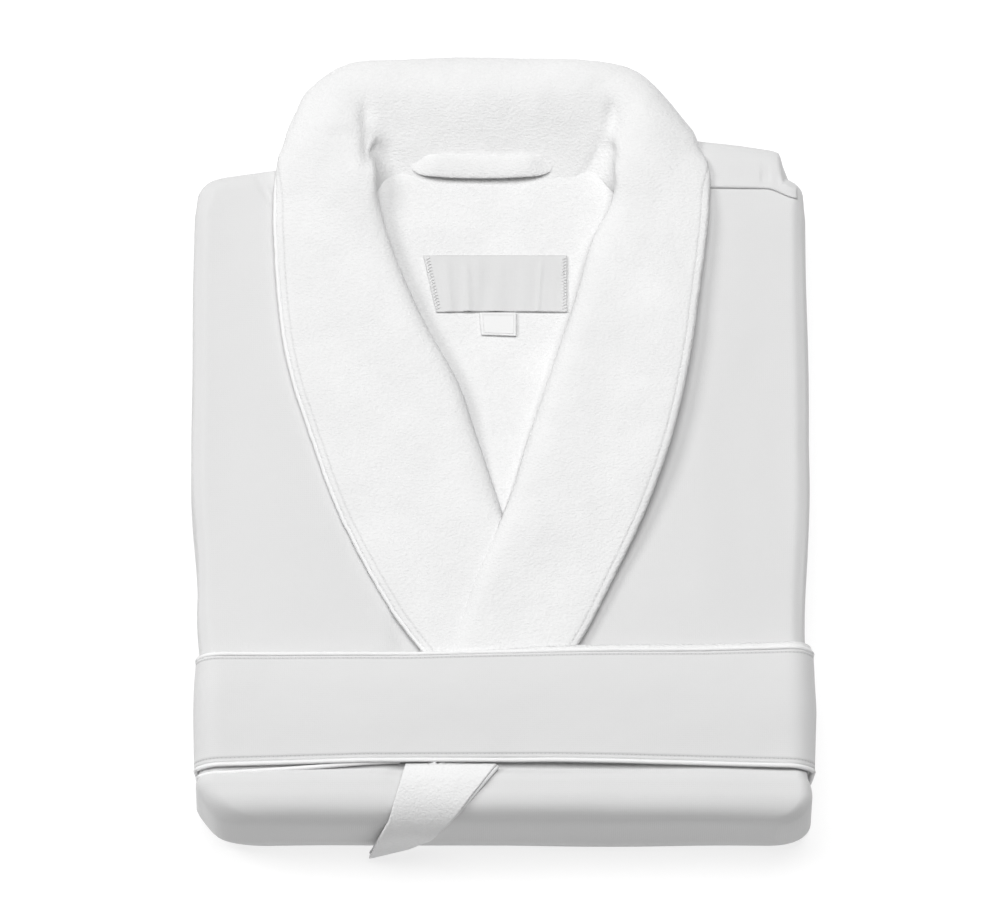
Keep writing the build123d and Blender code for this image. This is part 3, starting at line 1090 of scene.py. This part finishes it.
    def build(self) -> None:
        """Make the collar, its backing and its piping."""
        grid = self.surface()
        from_edge = np.stack([lengths(row[::-1])[::-1] for row in grid])
        along = np.broadcast_to(lengths(grid[:, -1])[:, None], from_edge.shape)
        uvs = np.dstack([along, from_edge])
        wearing = Wearing("bundle", ("left_lapel", "right_lapel", "collar_back"), "terry")
        rests_on = ("left_front_shell", "right_front_shell")
        Sheet("shawl_collar", self.terry, COLLAR_TERRY, wearing, "folded", rests_on).lay(grid, uvs)
        self._backing(grid)
        self._piping(grid)

    def _backing(self, grid: Grid) -> None:
        """Make the microfibre under the collar.

        Args:
            grid: Upper surface of the terry.
        """
        under = (grid - normals(grid) * (self.terry + 0.35))[:, 8:-1]
        wearing = Wearing("bundle", ("left_under_collar", "right_under_collar"), "microfibre")
        rests_on = ("shawl_collar",)
        Sheet("under_collar", self.backing, MICROFIBRE, wearing, "folded", rests_on).lay(under)

    def _piping(self, grid: Grid) -> None:
        """Make the piping in the collar's outer edge, in two halves that meet behind the neck.

        Args:
            grid: Upper surface of the terry.
        """
        edge = grid[:, -1] - normals(grid)[:, -1] * (self.terry * 0.5)
        away = grid[:, -1] - grid[:, -4]
        edge += away / np.linalg.norm(away, axis=1, keepdims=True) * 0.2
        half = int(np.argmin(np.abs(edge[:, 0]) + 1000 * (edge[:, 1] < 150)))
        for word, run in (("right", edge[: half + 1]), ("left", edge[half:])):
            if word == "left":
                hidden = (smooth(run[:, 1], -178, -166) * (1 - smooth(run[:, 1], 128, 152)))[:, None]
                inward = (np.array([0.0, 20.0, 62.0]) - run) * (1, 0.3, 0)
                inward /= np.linalg.norm(inward, axis=1, keepdims=True)
                run = run + hidden * (inward * 2.3 - (0, 0, 1.3))
            path = respace(run, int(lengths(run)[-1] / self.piping_step))
            wearing = Wearing("bundle", (f"{word}_collar_piping",), "piping")
            Tube(f"{word}_collar_cord", self.piping_r, PIPING, wearing).make(path)


@dataclass
class NeckLining:
    """Terry inside the neck opening, with the lower layers of the fold behind it."""

    thick: float = 2.2
    level: float = 53.0

    def build(self) -> None:
        """Make the lining seen in the V of the neck."""
        y = np.linspace(168, -66, 90)
        left = np.interp(y, [-66, -45, 50, 118, 168], [2, 6, 34, 55, 66]) + 16
        right = np.interp(y, [-66, -45, 27, 77, 128, 168], [-2, -4, -24, -47, -65, -72]) - 16
        across = np.linspace(0, 1, 64)
        x = right[:, None] + (left - right)[:, None] * across[None, :]
        grid = np.dstack([x, np.broadcast_to(y[:, None], x.shape), np.full(x.shape, self.level)])
        level = 0.9 * unrest(grid, 48.0, 41.0) + 0.4 * unrest(grid, 20.0, 45.0)
        label = np.exp(-(((grid[..., 0] + 3.5) / 48) ** 4) - ((grid[..., 1] - 84) / 34) ** 4)
        grid[..., 2] += level * (1 - 0.9 * label)
        grid[..., 2] -= 1.2 * smooth(grid[..., 1], 150, 164)
        grid[..., 2] += 6.0 * smooth(-grid[..., 1], -54, 36)
        wearing = Wearing("bundle", ("back_lining",), "terry")
        rests_on = ("left_front_lining", "right_front_lining")
        Sheet("neck_lining", self.thick, TERRY, wearing, "folded", rests_on).lay(grid)


@dataclass
class NeckLabel:
    """Blank satin label, sewn down along its short sides with a zigzag stitch."""

    thick: float = 0.5
    slant: float = 7.0
    thread: float = 0.33
    stitches: int = 34
    stitch_reach: float = 1.1

    CREASES: ClassVar[Sequence[Point]] = ((0.80, 0.016, 0.75), (0.27, 0.03, 0.7), (0.13, 0.03, 0.35))
    """Place along the label, width as a share of it, and height in millimetres."""

    def surface(self) -> Grid:
        """Upper surface of the label, with soft creases between its two seams.

        Returns:
            A grid, along the label by across it.
        """
        low, high = cad("neck_label")
        u, v = np.meshgrid(np.linspace(0, 1, 90), np.linspace(0, 1, 40), indexing="ij")
        left = low[0] - 1.0 + self.slant * (1 - v)
        x = left + (high[0] + 1.2 - left) * u
        base = low[1] - 1.1
        y = base + (high[1] - base) * v + 0.4 * np.sin(u * 3.1) * (1 - v)
        grid = np.dstack([x, y, np.full(x.shape, high[2] + 0.1)])
        lift = 0.8 * unrest(grid, 17.0, 52.0, (0.55, 3.5, 1))
        lift = lift + 0.3 * unrest(grid, 8.0, 57.0, (0.6, 4.0, 1))
        for at, wide, tall in self.CREASES:
            lean = u - at - 0.05 * (v - 0.5)
            lift += tall * np.exp(-((lean / wide) ** 2)) * (1 - 0.5 * smooth(v, 0.6, 1.0))
        seams = smooth(u, 0.02, 0.16) * (1 - smooth(u, 0.86, 0.98))
        seams = seams * (1 - 0.75 * smooth(v, 0.75, 1.0))
        grid[..., 2] += (lift + 0.45) * seams
        return grid

    def zigzag(self, grid: Grid, row: int, name: str) -> Piece:
        """A zigzag seam beside one short side.

        Args:
            grid: Surface of the label.
            row: Row of the surface in the middle of the seam.
            name: Name of the piece.

        Returns:
            The seam.
        """
        line = spline(grid[row, 2:-2], self.stitches)
        line[:, 0] += self.stitch_reach * np.where(np.arange(self.stitches) % 2, 1, -1)
        line[:, 2] += self.thread * 0.8
        wearing = Wearing("bundle", (), "label_satin")
        return Tube(name, self.thread, THREAD, wearing, THREAD_SIDES).make(line)

    def build(self) -> None:
        """Make the label and its two seams."""
        grid = self.surface()
        wearing = Wearing("bundle", ("neck_label",), "label_satin")
        sheet = Sheet("neck_label_satin", self.thick, LABEL, wearing, "laid", ("neck_lining",))
        label = sheet.make(grid)
        right = self.zigzag(grid, 2, "label_seam_right")
        left = self.zigzag(grid, -3, "label_seam_left")


@dataclass
class SizeTab:
    """Small blank satin tab, sewn along its top edge under the label."""

    thick: float = 0.45
    thread: float = 0.16
    slant: float = 1.0
    turn: float = 0.7

    def build(self) -> None:
        """Make the tab and its stitched border."""
        low, high = cad("size_tab")
        u, v = np.meshgrid(np.linspace(0, 1, 26), np.linspace(0, 1, 20), indexing="ij")
        x = low[0] + (high[0] - low[0]) * u + self.slant * (1 - v) * (1 - u)
        y = low[1] + (high[1] - low[1]) * v + self.turn * (1 - v) * (0.5 - u)
        z = high[2] + 0.15 * (1 - v) + 0.2 * np.sin(v * 3.14)
        grid = np.dstack([x, y, z])
        wearing = Wearing("size_tab", ("size_tab",), "tab_satin")
        sheet = Sheet("size_tab_satin", self.thick, TAB, wearing, "hung", ("neck_label_satin",))
        tab = sheet.make(grid)
        inner = grid[2:-2, 2:-2] + (0, 0, 0.12)
        border = np.vstack([inner[0, ::-1], inner[1:, 0], inner[-1, 1:], inner[-2::-1, -1]])
        wearing = Wearing("size_tab", (), "tab_satin")
        seam = Tube("size_tab_seam", self.thread, THREAD, wearing, THREAD_SIDES).make(respace(border, 70))


@dataclass
class HangerLoop:
    """Padded strap at the neck seam, its ends turned down into the lining."""

    half_wide: float = 6.7
    half_thick: float = 1.9
    level: float = 54.4
    rise: float = 2.4
    bow: float = 1.7
    behind: float = 2.6

    def build(self) -> None:
        """Make the loop."""
        low, high = cad("hanger_loop")
        middle = (low + high) / 2
        reach = (high[0] - low[0]) / 2
        t = np.linspace(-1, 1, 120)
        x = middle[0] + reach * np.sign(t) * (1 - (1 - np.abs(t)) ** 1.25)
        out = np.abs(x - middle[0]) / reach
        tip = 1 - smooth(out, 0.62, 1.0)
        cap = np.power(np.clip(1 - out**6.0, 0, 1), 0.45)
        wide = self.half_wide * cap
        thick = self.half_thick * (0.4 + 0.6 * tip) * np.power(cap, 0.5) + 0.05
        z = self.level + self.rise * tip
        y = middle[1] + self.behind - self.bow * (1 - out**2)
        turn = np.linspace(0, 2 * math.pi, 33)[:-1]
        ring_y = np.sign(np.cos(turn)) * np.abs(np.cos(turn)) ** 0.8
        ring_z = np.sign(np.sin(turn)) * np.abs(np.sin(turn)) ** 0.9
        rings = []
        for over, up in zip(ring_y, ring_z):
            rings.append(np.column_stack([x, y + wide * over, z + thick * up * (1 + 0.2 * over)]))
        grid = np.stack(rings)
        waves = unrest(grid, 14.0, 61.0) * 0.35
        grid[..., 2] += waves * tip[None, :]
        faces = grid_faces(len(grid), len(t), closed=True)
        loop = mesh_of("hanger_strap", grid.reshape(-1, 3), faces)
        use_modifier(loop, "WELD", merge_threshold=0.00005)
        outward_faces(loop)
        dress(loop, TERRY, Wearing("hanger_loop", ("hanger_loop",), "terry"))


# ---------------------------------------------------------------------------------------------
# Belt
# ---------------------------------------------------------------------------------------------


@dataclass
class Belt:
    """Sash wound twice round the bundle, with piped edges."""

    face: float = 1.2
    terry: float = 1.1
    inner: float = 0.9
    corner: float = 15.0
    piping_r: float = 1.25
    across: int = 34
    tilt: float = 3.0
    shift: float = 1.7
    tuck: float = 4.5
    fall: float = 3.4
    base: float = 0.9

    REAR: ClassVar[Offsets] = (
        (-165, -124.5), (-106, -125.0), (-48, -125.6), (50, -123.6), (110, -122.4), (162, -120.6),
    )
    INNER: ClassVar[Offsets] = ((-166, -2.6), (-150, -2.6), (-110, -1.2), (-60, 1.4), (0, 1.8))
    FRONT: ClassVar[Offsets] = (
        (-165, -187.6), (-73, -185.6), (28, -185.6), (117, -187.0), (162, -188.0),
    )

    def loop(self, inset: float, count: int = 330) -> Grid:
        """Outline of the belt round the bundle, in X and Z, from under the middle and back.

        Args:
            inset: How far inside the belt's outer face it runs.
            count: How many places to return.

        Returns:
            X and Z of the places.
        """
        low, high = cad("belt_face")
        half, top = float(high[0]) - 2.0 - inset, float(high[2]) - 0.3
        r = self.corner - inset
        x = np.linspace(0, half - r, 40)
        level = top - inset - self.fall * smooth(x, 30, half - r)
        turn = np.radians(np.linspace(90, 0, 14))[1:]
        upper = np.column_stack([half - r + r * np.cos(turn), level[-1] - r + r * np.sin(turn)])
        base = float(low[2]) + inset + self.base
        turn = np.radians(np.linspace(0, 90, 14))
        lower = np.column_stack([half - r + r * np.cos(turn), base + r - r * np.sin(turn)])
        under = np.linspace(half - r, 0, 40)[1:]
        flat = np.column_stack([under, np.full(len(under), base)])
        right = np.vstack([np.column_stack([x, level]), upper, lower, flat])
        right[:, 0] -= self.tuck * smooth(-right[:, 1], -48, -26) * smooth(right[:, 0], 100, half)
        whole = np.vstack([right[::-1], (right * (-1, 1))[1:]])
        return respace(whole, count) + (self.shift, 0)

    def band(self, inset: float, rear: Offsets, front: Offsets) -> Grid:
        """Surface of one turn of the belt.

        Args:
            inset: How far inside the outer face it runs.
            rear: How far its rear edge is drawn in, at places across the robe.
            front: How far its front edge is drawn in, at places across the robe.

        Returns:
            A grid, round the bundle by across the belt from the rear edge.
        """
        ring = self.loop(inset)
        back = read_edge(self.REAR, ring[:, 0]) - read_edge(rear, ring[:, 0])
        lead = read_edge(self.FRONT, ring[:, 0]) + read_edge(front, ring[:, 0])
        part = np.linspace(0, 1, self.across)
        y = back[:, None] + (lead - back)[:, None] * part[None, :]
        x = np.broadcast_to(ring[:, :1], y.shape)
        z = np.broadcast_to(ring[:, 1:], y.shape)
        grid = np.dstack([x, y, z])
        waves = unrest(grid, 46.0, 71.0, (1.2, 0.8, 1.0)) * 0.7
        waves = waves + unrest(grid, 18.0, 75.0, (1.4, 0.9, 1.0)) * 0.25
        bow = 1.3 * np.sin(part * math.pi)[None, :] - 0.6
        on_top = smooth(z, 30, 60)
        out = normals(grid)
        sign = np.sign(np.sum(out * (grid - (0, -156, 35)), axis=2, keepdims=True))
        grid = grid + out * sign * (((waves + bow - 0.5) * (0.25 + 0.75 * on_top))[..., None])
        tilt = self.tilt + 0.6 * (1 - smooth(np.abs(grid[..., 0]), 20, 120))
        grid[..., 2] -= tilt * smooth(part, 0.2, 1.0)[None, :] * smooth(grid[..., 2], 48, 62)
        return grid

    def build(self) -> None:
        """Make the outer turn, the inner turn, and their piping."""
        grid = self.band(0.0, ((0, 1.6),), ((0, 1.6),))
        peek = ((-60, 1.8), (-10, -0.6), (20, -2.4), (162, -2.9))
        across = np.broadcast_to(np.linspace(0, 60, self.across)[None, :], grid.shape[:2])
        along = np.broadcast_to(lengths(grid[:, self.across // 2])[:, None], across.shape)
        backing = self.band(1.35, peek, ((0, 1.8),))
        inner = self.band(2.6, ((0, 2.4),), self.INNER)
        pieces = (
            ("face", grid, self.face, BELT_CLOTH, "microfibre", np.dstack([along, across])),
            ("backing", backing, self.terry, TERRY, "terry", None),
            ("inner_turn", inner, self.inner, MICROFIBRE, "microfibre", None),
        )
        rests_on = ("left_front_shell", "right_front_shell")
        for word, surface, thick, cloth, slot, uvs in pieces:
            wearing = Wearing("belt", (f"belt_{word}",), slot)
            Sheet(f"sash_{word}", thick, cloth, wearing, "folded", rests_on).lay(surface, uvs)
        self._edges(grid)

    def _edges(self, grid: Grid) -> None:
        """Make the piping on the belt's edges.

        Args:
            grid: Surface of the outer turn.
        """
        for word, column, inward in (("rear", 0, 1), ("front", -1, -2)):
            run = grid[:, column].copy()
            run += (run - grid[:, inward]) * 0.45
            run = np.vstack([run[:-1], run[:1]])
            middle = np.array([0, 0, 35.0])
            pull = (middle - run) * (1, 0, 1)
            run += pull / np.linalg.norm(pull, axis=1, keepdims=True) * 0.7
            wearing = Wearing("belt", (f"belt_{word}_piping",), "piping")
            Tube(f"sash_{word}_piping", self.piping_r, PIPING, wearing).make(run)
        places = self.band(2.0, ((0, 0),), self.INNER)[:, -1]
        run = places[(places[:, 0] < -52) & (places[:, 2] > 6)]
        run[:, 1] -= 0.9
        wearing = Wearing("belt", ("belt_inner_piping",), "piping")
        Tube("sash_inner_piping", self.piping_r, PIPING, wearing).make(run)


@dataclass
class BeltTail:
    """Loose end of the sash, terry side up, hanging over the front fold."""

    terry: float = 1.9
    shell: float = 0.9
    piping_r: float = 1.15
    slope: float = 70.0
    start: float = 154.6

    PATH: ClassVar[Offsets] = (
        (-188.2, 64.4), (-191, 65.3), (-195, 66.2), (-201, 66.0), (-209, 63.0), (-215.5, 56),
        (-218.9, 46), (-219.5, 28), (-219.8, 14), (-220.0, 7.5),
    )
    LEFT_EDGE: ClassVar[Offsets] = (
        (-10, -49), (0, -51), (20, -57.5), (29, -60), (40, -66), (48, -70), (49.5, -71),
    )
    RIGHT_EDGE: ClassVar[Offsets] = (
        (-10, 3), (0, -2.5), (11, -12), (25, -23.5), (32, -30), (39.5, -38), (44.5, -50),
        (48, -65), (49.5, -70.5),
    )

    def surface(self) -> Grid:
        """Terry side of the loose end.

        Returns:
            A grid, from the belt's edge down by across the end.
        """
        path = spline([(0, y, z) for y, z in self.PATH], 46)
        slope = math.radians(self.slope)
        drop = -(path[:, 1] * math.sin(slope) + path[:, 2] * math.cos(slope)) - self.start
        left, right = read_edge(self.LEFT_EDGE, drop), read_edge(self.RIGHT_EDGE, drop)
        part = np.linspace(0, 1, 40)
        x = left[:, None] + (right - left)[:, None] * part[None, :]
        y = np.broadcast_to(path[:, 1:2], x.shape)
        z = np.broadcast_to(path[:, 2:3], x.shape)
        grid = np.dstack([x, y, z])
        waves = unrest(grid, 22.0, 81.0) * 0.8 * smooth(-grid[..., 1], 193, 203)
        return grid + normals(grid) * waves[..., None]

    def build(self) -> None:
        """Make the loose end, its shell side and its piping."""
        grid = self.surface()
        out = normals(grid)
        if out[10, 20, 2] < 0:
            out = -out
        under = (grid - out * (self.terry + 0.15))[:, 1:-1]
        for name, surface, thick, cloth, node, slot in (
            ("tail_terry_side", grid, self.terry, PAINTED_LIGHT_TAIL_TERRY, "tail_terry", "terry"),
            ("tail_shell_side", under, self.shell, MICROFIBRE, "tail_shell", "microfibre"),
        ):
            wearing = Wearing("belt_tail", (node,), slot)
            Sheet(name, thick, cloth, wearing, "hung", ("belt_face",), flip=True).lay(surface)
        run = (grid - out * 0.6)[:, -1]
        away = grid[:, -1] - grid[:, -3]
        run = run + away / np.maximum(np.linalg.norm(away, axis=1, keepdims=True), 1e-6) * 0.6
        wearing = Wearing("belt_tail", ("tail_piping",), "piping")
        Tube("tail_edge_piping", self.piping_r, PIPING, wearing).make(respace(run, 60))


# ---------------------------------------------------------------------------------------------
# Hidden layers
# ---------------------------------------------------------------------------------------------


@dataclass
class Layers:
    """Cloth inside and under the fold: linings, back, sleeves, cuffs, pockets and small loops."""

    body: Bundle
    inside: float = 3.0
    lining: float = 1.8
    thickest_patch: float = 1.4

    FOLD: ClassVar[Offsets] = (
        (96, 53.5), (120, 53.5), (138, 53.4), (146, 48), (144, 36), (141, 33), (144, 29),
        (146, 15), (138, 6.5), (120, 5.2), (90, 5.2),
    )
    HEAD: ClassVar[Offsets] = (
        (92, 176), (104, 175), (130, 172), (148, 169), (151.5, 167.5), (153.2, 160.5), (156, 154),
        (161, 149),
    )

    def flattened(self, node: str, thick: float, cloth: Cloth, slot: str) -> None:
        """A tube of cloth that lies flat in the box of its CAD node.

        Args:
            node: The CAD node.
            thick: Thickness of the cloth in millimetres.
            cloth: Its finish.
            slot: Its material slot.
        """
        low, high = cad(node)
        low, high = low + (1.5, 1.5, 0.6), high - (1.5, 1.5, 0.6)
        r = (high[2] - low[2]) / 2
        turn = np.radians(np.linspace(90, -90, 9))
        right = np.column_stack([high[0] - r + r * np.cos(turn), (low[2] + high[2]) / 2 + r * np.sin(turn)])
        left = np.column_stack([low[0] + r - r * np.cos(turn), right[:, 1]])[::-1]
        ring = respace(np.vstack([right, left, right[:1]]), 90)
        y = np.linspace(high[1], low[1], 60)
        parts = (ring[:, :1], y[None, :], ring[:, 1:])
        grid = np.dstack([np.broadcast_to(part, (len(ring), len(y))) for part in parts])
        grid[..., 2] += unrest(grid, 40.0, low[0]) * 0.4
        wearing = Wearing("bundle", (node,), slot)
        name = f"{node}_cloth"
        Sheet(name, thick, cloth, wearing, "folded", ("neck_lining",), outward=1.0).lay(grid)

    def patch(self, node: str, cloth: Cloth, slot: str) -> None:
        """A flat patch of cloth in the box of its CAD node.

        Args:
            node: The CAD node.
            cloth: Its finish.
            slot: Its material slot.
        """
        low, high = cad(node)
        thick = min(high[2] - low[2], self.thickest_patch)
        x, y = np.linspace(low[0], high[0], 44), np.linspace(low[1], high[1], 52)
        x, y = np.meshgrid(x, y, indexing="ij")
        grid = np.dstack([x, y, np.full(x.shape, high[2])])
        wearing = Wearing("bundle", (node,), slot)
        sheet = Sheet(f"{node}_cloth", thick, cloth, wearing, "laid", ("left_front_shell",))
        sheet.lay(grid, np.dstack([y - low[1], x - low[0]]))

    def linings(self) -> None:
        """Terry linings that follow the inside of the front panels."""
        for side in (Side.LEFT, Side.RIGHT):
            word = side.name.lower()
            inner = self.body.panel(side, self.inside)[:, 4:-4]
            wearing = Wearing("bundle", (f"{word}_front_lining",), "terry")
            rests_on = (f"{word}_front_shell",)
            name = f"{word}_lining_cloth"
            flip = side is Side.RIGHT
            Sheet(name, self.lining, TERRY, wearing, "folded", rests_on, flip).lay(inner)

    def back(self) -> None:
        """Outer back: the shoulder fold behind the bundle."""
        reach = self.body.half - 9
        x = np.linspace(-reach, reach, 130)
        path = np.tile(spline([(0, y, z) for y, z in self.FOLD], 90), (len(x), 1, 1))
        path[..., 0] = x[:, None]
        neck = 1 - smooth(np.abs(x), 84, 94)
        path[..., 2] -= neck[:, None] * 3.5 * smooth(path[..., 2], 40, 56)
        path[..., 1] += 0.9 * unrest(path, 40.0, 91.0)
        wearing = Wearing("bundle", ("back_shell",), "microfibre")
        rests_on = ("left_front_shell",)
        thick = self.body.shell
        Sheet("back_shell_cloth", thick, MICROFIBRE, wearing, "folded", rests_on).lay(path)

    def sleeve_head(self) -> None:
        """Cloth past the armhole seam on the wearer's left shoulder, turned down behind."""
        x = np.linspace(self.HEAD[0][0], self.HEAD[-1][0], 70)
        reach = read_edge(self.HEAD, x)
        shell = self.body.panel(Side.LEFT).reshape(-1, 3)
        shell = shell[shell[:, 2] > 45]
        rows = []
        for at, far in zip(x, reach):
            seam = 144.2 - 5.5 * float(smooth(at, 144, 161))
            low = 6.0 * float(smooth(at, 150.5, 160))
            path = []
            for y in (seam, seam + 2.5, seam + 6):
                near = shell[np.argmin(np.linalg.norm(shell[:, :2] - (at, y), axis=1))]
                path.append((at, y, near[2] + 0.42))
            path += [(at, max(far - 9, seam + 9), 57.4 - low), (at, far - 1.5, 53.6 - low)]
            path += [(at, far, 50 - low), (at, far - 4, 44 - low)]
            path += [(at, 148, 40 - low), (at, 145, 34 - low)]
            rows.append(spline(path, 40))
        wearing = Wearing("bundle", (), "microfibre")
        sheet = Sheet("sleeve_head", 0.7, MICROFIBRE, wearing, "folded", ("left_front_shell",), True)
        sheet.lay(np.stack(rows))

    def build(self) -> None:
        """Make all these layers."""
        self.linings()
        self.back()
        self.sleeve_head()
        for word in ("left", "right"):
            self.flattened(f"{word}_sleeve_shell", 1.0, MICROFIBRE, "microfibre")
            self.flattened(f"{word}_sleeve_lining", 1.4, TERRY, "terry")
            self.flattened(f"{word}_cuff", 2.4, TERRY, "terry")
            self.patch(f"{word}_pocket", POCKET_CLOTH, "microfibre")
            self.patch(f"{word}_belt_loop", MICROFIBRE, "microfibre")
        self.patch("care_label", TAB, "label_satin")


# ---------------------------------------------------------------------------------------------
# Scene
# ---------------------------------------------------------------------------------------------


@dataclass(frozen=True)
class Studio:
    """Pale floor, soft light and the camera over the front edge."""

    elevation: float = 70.0
    distance: float = 5.0
    picture_width: float = 0.543
    target: Point = (-0.0008, 0.0032, 0.03)
    key_power: float = 275.0
    top_power: float = 212.0
    sky: float = 0.12
    table_grey: float = 0.34
    table_glow: float = 0.72
    table_size: float = 12.0
    sensor: float = 36.0

    def build(self) -> None:
        """Make the floor, the lights and the camera."""
        bpy.ops.mesh.primitive_plane_add(size=self.table_size, location=(0, 0, 0))
        floor = bpy.context.active_object
        floor.name = "floor"
        floor.data.materials.append(self._table())
        self._light("key", (-5.4, 1.6, 5.8), 3.0, self.key_power)
        self._light("top", (0.2, 0.9, 4.8), 3.4, self.top_power)
        world = bpy.data.worlds.new("studio")
        world.use_nodes = True
        sky = world.node_tree.nodes["Background"]
        sky.inputs["Color"].default_value = (1, 1, 1, 1)
        sky.inputs["Strength"].default_value = self.sky
        bpy.context.scene.world = world
        bpy.context.scene.view_settings.view_transform = "Standard"
        self._camera()

    def _table(self) -> bpy.types.Material:
        """White light table: part of its light comes from below.

        Returns:
            The material.
        """
        made = bpy.data.materials.new("light_table")
        made.use_nodes = True
        shader = made.node_tree.nodes["Principled BSDF"]
        shader.inputs["Base Color"].default_value = (*(self.table_grey,) * 3, 1)
        shader.inputs["Roughness"].default_value = 1.0
        shader.inputs["Specular IOR Level"].default_value = 0.0
        shader.inputs["Emission Color"].default_value = (1, 1, 1, 1)
        shader.inputs["Emission Strength"].default_value = self.table_glow
        return made

    def _light(self, name: str, place: Point, size: float, power: float) -> None:
        """Add a square lamp that faces the robe.

        Args:
            name: Name of the lamp.
            place: Where it stands, in metres.
            size: Length of its side in metres.
            power: Its power in watts.
        """
        lamp = bpy.data.lights.new(name, "AREA")
        lamp.size = size
        lamp.energy = power
        holder = bpy.data.objects.new(name, lamp)
        holder.location = place
        holder.rotation_mode = "QUATERNION"
        holder.rotation_quaternion = (-Vector(place)).to_track_quat("-Z", "Y")
        bpy.context.scene.collection.objects.link(holder)

    def _camera(self) -> None:
        """Add the camera."""
        lens = bpy.data.cameras.new("camera")
        lens.sensor_width = self.sensor
        lens.lens = self.sensor * self.distance / self.picture_width
        tilt = math.radians(self.elevation)
        back = Vector((0, -math.cos(tilt), math.sin(tilt)))
        camera = bpy.data.objects.new("camera", lens)
        camera.location = Vector(self.target) + back * self.distance
        camera.rotation_mode = "QUATERNION"
        camera.rotation_quaternion = (-back).to_track_quat("-Z", "Y")
        bpy.context.scene.collection.objects.link(camera)
        bpy.context.scene.camera = camera


def main() -> None:
    """Build the robe's parts in order."""
    logging.basicConfig(level=logging.INFO, format="%(name)s %(message)s")
    Studio().build()
    body = Bundle()
    parts = (
        body, Layers(body), NeckLining(), ShawlCollar(), NeckLabel(), SizeTab(), HangerLoop(),
        Belt(), BeltTail(),
    )
    for part in parts:
        part.build()


if __name__ == "__main__":
    main()
